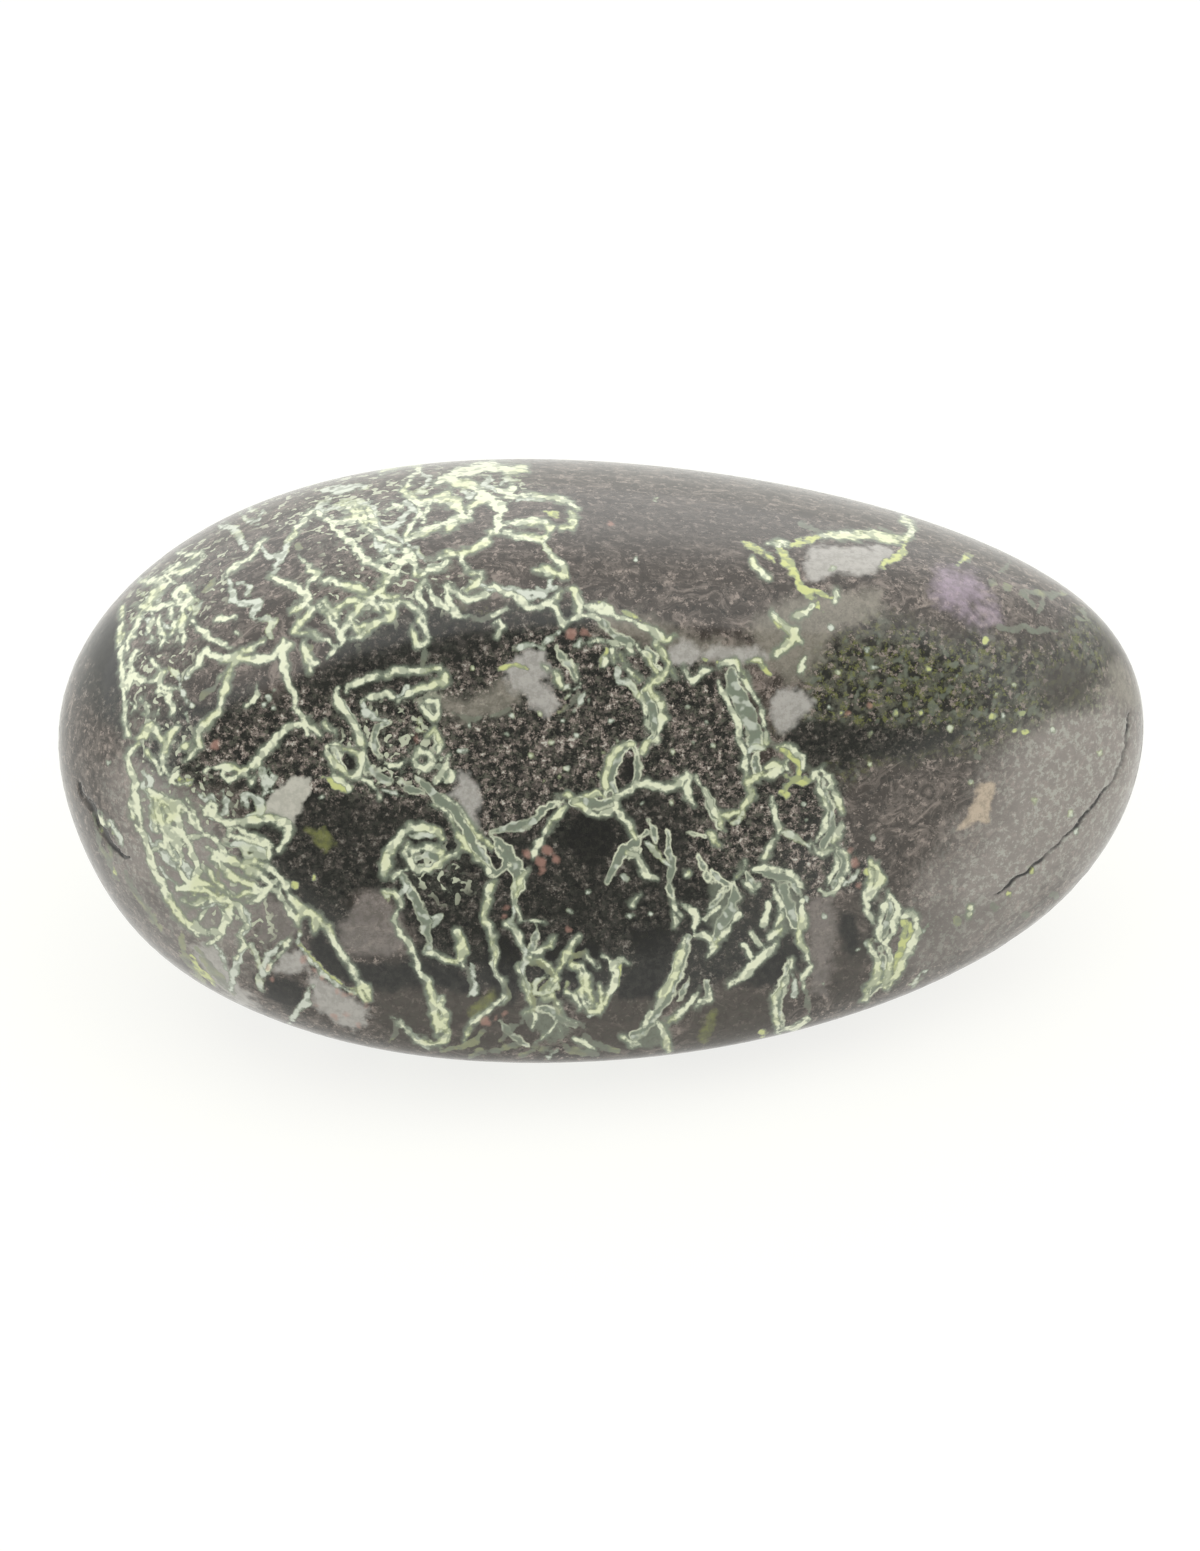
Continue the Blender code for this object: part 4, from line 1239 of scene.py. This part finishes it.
def pattern_place(points, normals):
    """Where points lie in the drawn pattern: as seen on the front, and drifting off on the far sides."""
    place = frame_place(points)
    place += CRINKLE * np.array([noise.noise_vector(Vector(p * CRINKLE_SCALE))[:2] for p in points])
    hidden = np.clip(0.05 - normals @ TO_CAMERA, 0, 1)
    hidden = hidden * hidden * (3 - 2 * hidden)
    far = np.nonzero(hidden > 0)[0]
    drift = np.array([noise.noise_vector(Vector(points[i] * DRIFT_SCALE))[:2] for i in far])
    if len(far):
        place[far] += hidden[far, None] * (DRIFT * 2 * drift + DRIFT_LEAN)
    return place


def nearness(place, half_width, course):
    """The points near a line, and half its width there less their distance to it, in pixels."""
    course = np.array(course, float)
    margin = REACH + half_width
    near = np.all((place > course.min(0) - margin) & (place < course.max(0) + margin), axis=1)
    near = np.nonzero(near)[0]
    spots = place[near]
    if len(course) == 1:
        return near, np.maximum(half_width - np.linalg.norm(spots - course[0], axis=1), -REACH)
    run = np.concatenate(([0], np.cumsum(np.linalg.norm(np.diff(course, axis=0), axis=1))))
    from_end = np.minimum(run, run[-1] - run) / (TAPER * half_width)
    if np.linalg.norm(course[0] - course[-1]) < 1:
        from_end[:] = 1
    widths = half_width * (THIN_END + (1 - THIN_END) * np.minimum(1, from_end))
    found = np.full(len(near), -REACH)
    for start, end, wide_start, wide_end in zip(course[:-1], course[1:], widths[:-1], widths[1:]):
        step = end - start
        along = np.clip((spots - start) @ step / max(step @ step, 1e-9), 0, 1)
        distance = np.linalg.norm(spots - start - along[:, None] * step, axis=1)
        found = np.maximum(found, wide_start + along * (wide_end - wide_start) - distance)
    return near, found


def inside(place, outline):
    """Distance to an outline in pixels, positive inside it and negative outside."""
    outline = np.array(outline, float)
    distance = np.full(len(place), np.inf)
    within = np.zeros(len(place), bool)
    for start, end in zip(outline, np.roll(outline, -1, axis=0)):
        run = end - start
        along = np.clip((place - start) @ run / (run @ run), 0, 1)
        distance = np.minimum(distance, np.linalg.norm(place - start - along[:, None] * run, axis=1))
        crosses = (start[1] > place[:, 1]) != (end[1] > place[:, 1])
        height = run[1] if run[1] else 1e-9
        within ^= crosses & (place[:, 0] < start[0] + (place[:, 1] - start[1]) / height * run[0])
    return np.where(within, distance, -distance)


def vein_fields(place):
    """For each kind of vein, how far inside the nearest one each point is, in pixels."""
    fields = {kind: np.full(len(place), -REACH) for kind in KINDS}
    lines = [line for group in VEINS.values() for line in group]
    lines += [
        (kind, SPOT_SIZE * radius, (x, y)) for group in SPOTS.values() for kind, radius, x, y in group
    ]
    for kind, half_width, *course in lines:
        near, value = nearness(place, half_width, course)
        fields[kind][near] = np.maximum(fields[kind][near], value)
    for name, lines in (
        ("crack", CRACKS.values()),
        ("blush", [(radius, (x, y)) for radius, x, y in BLUSH_SPOTS]),
    ):
        fields[name] = np.full(len(place), -REACH)
        for half_width, *course in lines:
            near, value = nearness(place, half_width, course)
            fields[name][near] = np.maximum(fields[name][near], value)
    return fields


def zone_fields(place):
    """How far inside each zone and patch each point is, in pixels."""
    far = np.full(len(place), -FAR)
    dark = np.max([inside(place, outline) for outline in DARK_ZONES.values()], axis=0)
    for outline in MAUVE_ISLES.values():
        dark = np.minimum(dark, -inside(place, outline))
    fields = {"dark": dark}
    for name, zones in SOFT_ZONES.items():
        fields[name] = np.max([inside(place, outline) for outline in zones.values()], axis=0)
    for tone, outline in PATCHES.values():
        fields[tone] = np.maximum(fields.get(tone, far), inside(place, outline))
    return fields


def positions(form):
    """Where the corners of a mesh are, one row each."""
    return np.array([vert.co[:] for vert in form.verts])


def refine(form, edge_on_show, edge_behind):
    """Splits the edges that are too long to carry the veins that run past them."""
    points, normals = settle(positions(form))
    place = pattern_place(points, normals)
    fields = vein_fields(place)
    zones = zone_fields(place)
    fields.update({tone: zones[tone] for tone in PATCH_LOOKS})
    near = np.min([np.abs(value) for value in fields.values()], axis=0)
    ends = np.array([(edge.verts[0].index, edge.verts[1].index) for edge in form.edges])
    seen = np.linalg.norm(place[ends[:, 0]] - place[ends[:, 1]], axis=1)
    real = np.linalg.norm(points[ends[:, 0]] - points[ends[:, 1]], axis=1) * PIXELS_PER_MM
    facing = (normals @ TO_CAMERA)[ends].max(axis=1)
    length = np.where(facing > 0, np.maximum(seen, real * FORESHORTENING), real)
    limit = np.where(facing > 0, edge_on_show, edge_behind) / MM * PIXELS_PER_MM
    clear = np.minimum(near[ends[:, 0]], near[ends[:, 1]])
    wanted = (length > limit) & (clear < NEAR_A_RIM * length)
    form.edges.ensure_lookup_table()
    chosen = [form.edges[i] for i in np.nonzero(wanted)[0]]
    if not chosen:
        return 0
    bmesh.ops.subdivide_edges(
        form, edges=chosen, cuts=1, use_grid_fill=True, use_single_edge=True,
    )
    bmesh.ops.triangulate(form, faces=[face for face in form.faces if len(face.verts) > 3])
    place_on_surface(form)
    return len(chosen)


def place_on_surface(form):
    """Moves every corner of the mesh on to the stone's surface."""
    placed, _ = settle(positions(form))
    for vert, place in zip(form.verts, placed):
        vert.co = place
    form.verts.index_update()
    form.edges.index_update()


def write_attribute(mesh, name, values):
    """Stores one value for each corner of the mesh under a name that the material reads."""
    attribute = mesh.attributes.new(name, "FLOAT", "POINT")
    attribute.data.foreach_set("value", np.asarray(values, np.float32))


def stone_mesh(surface):
    """The stone as a closed mesh in the frame's metres, with its pattern in attributes."""
    noise.seed_set(PATTERN_SEED)
    form = bmesh.new()
    bmesh.ops.create_icosphere(form, subdivisions=FIRST_STEPS, radius=1.0)
    place_on_surface(form)
    for _ in range(ROUNDS_OF_STEPS):
        if not refine(form, surface.edge_on_show, surface.edge_behind):
            break

    level = min(vert.co.z for vert in form.verts) + REST_SPOT_DEPTH
    bmesh.ops.bisect_plane(
        form,
        geom=form.verts[:] + form.edges[:] + form.faces[:],
        plane_co=(0, 0, level),
        plane_no=(0, 0, 1),
        clear_inner=True,
    )
    rim = [edge for edge in form.edges if edge.is_boundary]
    spot = bmesh.ops.contextual_create(form, geom=rim)["faces"]
    bmesh.ops.triangulate(form, faces=spot)

    points = positions(form)
    _, normals = settle(points)
    place = pattern_place(points, normals)
    fields = {**vein_fields(place), **zone_fields(place)}

    depth = np.clip(fields["crack"] / 1.5 + 0.5, 0, 1) * surface.crack_depth / MM
    points -= normals * depth[:, None]
    low, high = points.min(0), points.max(0)
    cad_low, cad_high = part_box(NODE)
    middle = (low + high) / 2
    shift = np.array((cad_low + cad_high) / 2) - middle * MM
    shift[2] = cad_low.z - low[2] * MM
    fit = min(1.0, *(np.array(cad_high - cad_low) / ((high - low) * MM)))
    base = np.array((middle[0], middle[1], low[2]))
    for vert, point in zip(form.verts, points):
        vert.co = ((point - base) * fit + base) * MM + shift

    mesh = bpy.data.meshes.new("stone_dressed")
    form.to_mesh(mesh)
    form.free()
    for name, values in fields.items():
        write_attribute(mesh, name, values / PIXELS_PER_MM)
    mesh.shade_smooth()
    return mesh


def add(tree, kind, inputs=(), **settings):
    """Adds a node with its settings, and links or sets its inputs."""
    node = tree.nodes.new("ShaderNode" + kind)
    for name, value in settings.items():
        setattr(node, name, value)
    for name, value in dict(inputs).items():
        if isinstance(value, bpy.types.NodeSocket):
            tree.links.new(value, node.inputs[name])
        else:
            node.inputs[name].default_value = value
    return node


def paint(tree, colour, layers):
    """Lays further colours over a first one, each with its strength and the masks that let it show.

    A mask is a value, the levels where it starts and is full, and what it lets through at the start.
    """
    for top, strength, *masks in layers:
        shown = None
        for value, start, full, *least in masks:
            mask = add(
                tree, "MapRange", {0: value, 1: start, 2: full, 3: sum(least), 4: strength},
                interpolation_type="SMOOTHSTEP",
            ).outputs[0]
            if shown is not None:
                mask = add(tree, "Math", {0: shown, 1: mask}, operation="MULTIPLY").outputs[0]
            shown, strength = mask, 1.0
        colour = add(tree, "Mix", {0: shown, 6: colour, 7: top}, data_type="RGBA").outputs[2]
    return colour


def polished_jasper(colours, surface):
    """Polished jasper: fine-grained quartz rock, glossy where it is tight and faintly dull on its grain."""
    material = bpy.data.materials.new("Polished jasper")
    material.use_nodes = True
    tree = material.node_tree
    shader = tree.nodes["Principled BSDF"]
    place = add(tree, "TexCoord").outputs["Object"]

    # Three mottlings with three independent parts each, so many millimetres across: the grain of the
    # crystals, the clouds that the rock formed in, and the uneven edges of the veins
    mottlings = []
    for size, detail, roughness in ((0.25, 3.0, 0.8), (1.6, 2.0, 0.55), (0.3, 1.0, 0.5)):
        mottling = add(
            tree, "TexNoise",
            {"Vector": place, "Scale": 1 / (size * MM), "Detail": detail, "Roughness": roughness},
        )
        mottlings.append(add(tree, "SeparateColor", {0: mottling.outputs["Color"]}).outputs)
    (tone, tint, fleck), (swirl, patchy, broad), (wobble, wear, _) = mottlings

    # How far inside each vein, patch and zone a place is, in millimetres, with a ragged edge
    ragged = add(tree, "Math", {0: tint, 1: 0.16, 2: -0.195}, operation="MULTIPLY_ADD").outputs[0]
    ragged = add(tree, "Math", {0: wobble, 1: 0.24, 2: ragged}, operation="MULTIPLY_ADD").outputs[0]
    rough = add(tree, "Math", {0: broad, 1: 1.8, 2: -0.9}, operation="MULTIPLY_ADD").outputs[0]
    wander = {name: (rough, 1.0) for name in ("dark", "band", "speckled", "pale_ground", "net")}
    wander.update({name: (ragged, 1.0) for name in (*KINDS, "blush")})
    wander.update({name: (ragged, 1.0 + 4 * softness) for name, (softness, *_) in PATCH_LOOKS.items()})
    wander["crack"] = (ragged, 0.1)
    edge = {}
    for name, (mottling, share) in wander.items():
        field = add(tree, "Attribute", attribute_name=name).outputs["Fac"]
        sums = add(tree, "Math", {0: mottling, 1: share, 2: field}, operation="MULTIPLY_ADD")
        edge[name] = sums.outputs[0]

    # Mauve-grey ground, with flow bands that run along the stone
    swirled = add(
        tree, "VectorMath", {0: swirl, 1: (4 * MM, 4 * MM, 4 * MM), 2: place}, operation="MULTIPLY_ADD",
    )
    flow = add(
        tree, "Mapping",
        {"Vector": swirled.outputs[0], "Scale": (0.35, 1.3, 1.3), "Rotation": (0.0, 0.35, -0.2)},
    )
    bands = add(
        tree, "TexNoise",
        {"Vector": flow.outputs[0], "Scale": 1 / (0.7 * MM), "Detail": 4.0, "Roughness": 0.72},
    ).outputs["Fac"]
    ground = paint(tree, colours.mauve, (
        (colours.umber, 1.0, (bands, 0.57, 0.41)),
        (colours.umber, 0.8, (tone, 0.55, 0.4)),
        (colours.green_black, 0.7, (tint, 0.43, 0.35)),
        (colours.tan, 0.6, (bands, 0.56, 0.68)),
        (colours.tan, 0.9, (fleck, 0.54, 0.67)),
        # The paler ends: partly the rock's own tone, partly a painted reflection
        (colours.pale_ground, 0.7, (edge["pale_ground"], -1.3, 0.9)),
        (colours.milky, 0.3, (tint, 0.48, 0.62), (edge["pale_ground"], -1.3, 0.9)),
    ))

    # Olive-grey rock, finely mottled
    olive = paint(tree, colours.olive, (
        (colours.green_black, 0.95, (wear, 0.56, 0.42)),
        (colours.green_black, 0.6, (tone, 0.52, 0.4)),
        (colours.moss, 0.6, (tint, 0.5, 0.64)),
        (colours.tan, 0.85, (fleck, 0.54, 0.67)),
        (colours.sage, 0.7, (wobble, 0.55, 0.68)),
    ))

    # Green-black rock, mottled with olive and brown, and flecked with pinkish white where it is speckled
    speckled = (edge["speckled"], -0.8, 0.6, 0.25)
    lighter = paint(tree, colours.olive, ((colours.brown, 1.0, (tint, 0.45, 0.58)),))
    dark = paint(tree, colours.green_black, (
        (lighter, 1.0, (tone, 0.42, 0.66), speckled),
        (colours.tan, 0.9, (fleck, 0.5, 0.62), speckled),
        (colours.milk, 0.95, (fleck, 0.61, 0.68), speckled),
        (colours.black, 0.8, (tint, 0.42, 0.36)),
    ))

    stone = paint(tree, ground, (
        (olive, 0.92, (edge["band"], -0.55, 0.5)),
        (dark, 1.0, (edge["dark"], -0.25, 0.3)),
    ))
    # Patch tones, among them painted shade over the top and along the foot, and a painted highlight along
    # the ridge
    for name, (softness, strength, graininess) in PATCH_LOOKS.items():
        shade = paint(tree, getattr(colours, name), ((colours.olive, graininess, (tone, 0.6, 0.38)),))
        stone = paint(tree, stone, ((shade, strength, (edge[name], -softness, softness)),))

    # The short hair-fine veins and the fine mottling between the drawn ones
    strands = add(
        tree, "TexNoise", {"Vector": place, "Scale": 1 / (0.6 * MM), "Detail": 2.0, "Roughness": 0.5},
    ).outputs["Fac"]
    net = add(tree, "Math", {0: strands, 1: 0.5}, operation="SUBTRACT").outputs[0]
    net = add(tree, "Math", {0: net}, operation="ABSOLUTE").outputs[0]
    width = add(
        tree, "MapRange", {0: wear, 1: 0.44, 2: 0.62, 3: -0.01, 4: 0.06}, interpolation_type="SMOOTHSTEP",
    ).outputs[0]
    net = add(tree, "Math", {0: width, 1: net}, operation="SUBTRACT").outputs[0]
    netted = (edge["net"], -0.3, 0.5)
    shade = paint(tree, colours.sage, ((colours.pale, 0.55, (net, 0.004, 0.022)),))
    stone = paint(tree, stone, (
        (colours.sage, 0.5, (tint, 0.5, 0.64), netted),
        (shade, 1.0, (net, -0.004, 0.022), netted),
    ))

    # The translucent grey-green border that comes and goes along the pale veins
    shade = paint(tree, colours.ribbon, ((colours.dull, 0.8, (tone, 0.55, 0.38)),))
    stone = paint(tree, stone, ((shade, 0.8, (edge[PALE], -0.16, -0.03), (patchy, 0.4, 0.56, 0.15)),))

    # The wide veins, with pale rims that come and go
    shade = paint(tree, colours.ribbon, (
        (colours.dull, 0.7, (fleck, 0.45, 0.7)),
        (colours.milky, 0.7, (wear, 0.52, 0.68)),
        (colours.pale, 0.95, (edge[RIBBON], 0.08, 0.02), (patchy, 0.4, 0.6, 0.25)),
    ))
    stone = paint(tree, stone, ((shade, 0.95, (edge[RIBBON], -0.04, 0.03)),))

    # The narrow veins: each is grey-green at its edges and light at its heart
    for kind, side_tone, strength in (
        (DULL, colours.dull, 0.75),
        (LIME, colours.dull, 0.95),
        (MILKY, colours.ribbon, 0.9),
        (PALE, colours.ribbon, 1.0),
    ):
        shade = paint(tree, side_tone, (
            (getattr(colours, kind), 1.0, (edge[kind], -0.02, 0.045)),
            (colours.lime, 0.3, (patchy, 0.5, 0.6)),
            (colours.ribbon, 0.55, (wear, 0.5, 0.4)),
        ))
        stone = paint(tree, stone, ((shade, strength, (edge[kind], -0.055, 0.012)),))

    stone = paint(tree, stone, (
        (colours.blush, 0.6, (edge["blush"], -0.05, 0.09)),
        (colours.black, 1.0, (edge["crack"], -0.03, 0.02), (patchy, 0.62, 0.5, 0.5)),
    ))
    tree.links.new(stone, shader.inputs["Base Color"])
    shader.inputs["IOR"].default_value = 1.54
    shader.inputs["Metallic"].default_value = 0.0
    dulling = add(
        tree, "MapRange", {0: tone, 1: 0.4, 2: 0.7, 3: surface.polish - 0.03, 4: surface.polish + 0.1},
        interpolation_type="SMOOTHSTEP",
    )
    tree.links.new(dulling.outputs[0], shader.inputs["Roughness"])
    return material


class STONE_OT_add_stone(bpy.types.Operator):
    """Adds the tumbled stone, with its veins, grain and hairline cracks"""

    bl_idname = "stone.add_stone"
    bl_label = "Add the stone"

    def execute(self, context):
        surface = context.scene.stone_surface
        mesh = stone_mesh(surface)
        mesh.materials.append(polished_jasper(context.scene.stone_colours, surface))
        stone = bpy.data.objects.new("stone_dressed", mesh)
        context.scene.collection.objects.link(stone)
        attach(stone, "root")
        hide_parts(NODE)
        return {"FINISHED"}


def floor_material():
    """White acrylic over a light table: an even white that lights what stands on it from below too."""
    material = bpy.data.materials.new("Lit white acrylic")
    material.use_nodes = True
    shader = material.node_tree.nodes["Principled BSDF"]
    shader.inputs["Base Color"].default_value = linear("#7E7E78")
    shader.inputs["Roughness"].default_value = 0.9
    shader.inputs["Specular IOR Level"].default_value = 0.0
    shader.inputs["Emission Color"].default_value = linear("#FFFFFD")
    shader.inputs["Emission Strength"].default_value = 0.8
    return material


# The tent's open front: how far it goes sideways, down and up from level, as slopes
OPENING_HALF_WIDTH = 1.1
OPENING_SILL = -0.12
OPENING_TOP = 1.05

# The way to the middle of the softbox, which leans forward over the stone
SOFTBOX_SIDE = (0.0, -0.38, 0.925)


def tent_world(settings):
    """A light tent seen from its inside: bright walls, a softbox above, and a dark open front."""
    world = bpy.data.worlds.new("Light tent")
    world.use_nodes = True
    tree = world.node_tree
    background = tree.nodes["Background"]
    way = add(tree, "TexCoord").outputs["Generated"]
    across, ahead, up = add(tree, "SeparateXYZ", {0: way}).outputs
    sideways = add(tree, "Math", {0: across}, operation="ABSOLUTE").outputs[0]

    # How far within the open front a direction looks, by its walls, its sill and its top
    within = 1.0
    for value, sign, slope in (
        (sideways, -1.0, -OPENING_HALF_WIDTH),
        (up, 1.0, OPENING_SILL),
        (up, -1.0, -OPENING_TOP),
    ):
        signed = add(tree, "Math", {0: value, 1: sign}, operation="MULTIPLY").outputs[0]
        clear = add(tree, "Math", {0: ahead, 1: slope, 2: signed}, operation="MULTIPLY_ADD").outputs[0]
        within = add(tree, "Math", {0: within, 1: clear}, operation="MINIMUM").outputs[0]
    seen = add(tree, "LightPath").outputs["Is Camera Ray"]
    strength = settings.tent
    overhead = add(tree, "VectorMath", {0: way, 1: SOFTBOX_SIDE}, operation="DOT_PRODUCT").outputs["Value"]
    for value, start, full, light in (
        (overhead, 0.74, 0.9, settings.softbox),
        (within, -0.06, 0.06, settings.opening),
        (seen, 0.0, 1.0, 1.0),
    ):
        shown = add(tree, "MapRange", {0: value, 1: start, 2: full}, interpolation_type="SMOOTHSTEP")
        strength = add(
            tree, "Mix", {0: shown.outputs[0], 2: strength, 3: light}, data_type="FLOAT",
        ).outputs[0]
    background.inputs["Color"].default_value = linear("#FFFFFD")
    tree.links.new(strength, background.inputs["Strength"])
    return world


class STONE_OT_add_stage(bpy.types.Operator):
    """Adds the pale floor, the light tent and the camera"""

    bl_idname = "stone.add_stage"
    bl_label = "Add the stage"

    def execute(self, context):
        settings = context.scene.stone_stage
        form = bmesh.new()
        bmesh.ops.create_circle(form, cap_ends=True, radius=settings.floor_radius, segments=64)
        mesh = bpy.data.meshes.new("floor")
        form.to_mesh(mesh)
        form.free()
        mesh.materials.append(floor_material())
        floor = bpy.data.objects.new("floor", mesh)
        context.scene.collection.objects.link(floor)
        context.scene.world = tent_world(settings)
        context.scene.view_settings.view_transform = "Standard"

        data = bpy.data.cameras.new("camera")
        data.sensor_width = SENSOR
        data.lens = SENSOR * CAMERA_DISTANCE * PIXELS_PER_MM / FRAME_SIZE[1]
        data.clip_end = 10.0
        camera = bpy.data.objects.new("camera", data)
        context.scene.collection.objects.link(camera)
        aim = Vector(AIM - ORIGIN) * MM
        camera.location = aim + Vector(TO_CAMERA) * CAMERA_DISTANCE * MM
        camera.rotation_euler = Vector(-TO_CAMERA).to_track_quat("-Z", "Y").to_euler()
        context.scene.camera = camera
        return {"FINISHED"}


class STONE_PT_panel(bpy.types.Panel):
    """Lists the stone's pieces and settings"""

    bl_idname = "STONE_PT_panel"
    bl_label = "Tumbled stone"
    bl_space_type = "VIEW_3D"
    bl_region_type = "UI"
    bl_category = "Stone"

    def draw(self, context):
        layout = self.layout
        for operator in OPERATORS:
            layout.operator(operator.bl_idname)
        for group in (context.scene.stone_surface, context.scene.stone_colours, context.scene.stone_stage):
            for name in group.bl_rna.properties.keys():
                if name not in ("rna_type", "name"):
                    layout.prop(group, name)


OPERATORS = (STONE_OT_add_stone, STONE_OT_add_stage)
CLASSES = (StoneColours, StoneSurface, StageSettings, *OPERATORS, STONE_PT_panel)


def register():
    for cls in CLASSES:
        bpy.utils.register_class(cls)
    bpy.types.Scene.stone_colours = bpy.props.PointerProperty(type=StoneColours)
    bpy.types.Scene.stone_surface = bpy.props.PointerProperty(type=StoneSurface)
    bpy.types.Scene.stone_stage = bpy.props.PointerProperty(type=StageSettings)


def unregister():
    del bpy.types.Scene.stone_stage
    del bpy.types.Scene.stone_surface
    del bpy.types.Scene.stone_colours
    for cls in reversed(CLASSES):
        bpy.utils.unregister_class(cls)


def main():
    register()
    bpy.ops.stone.add_stone()
    bpy.ops.stone.add_stage()


if __name__ == "__main__":
    main()
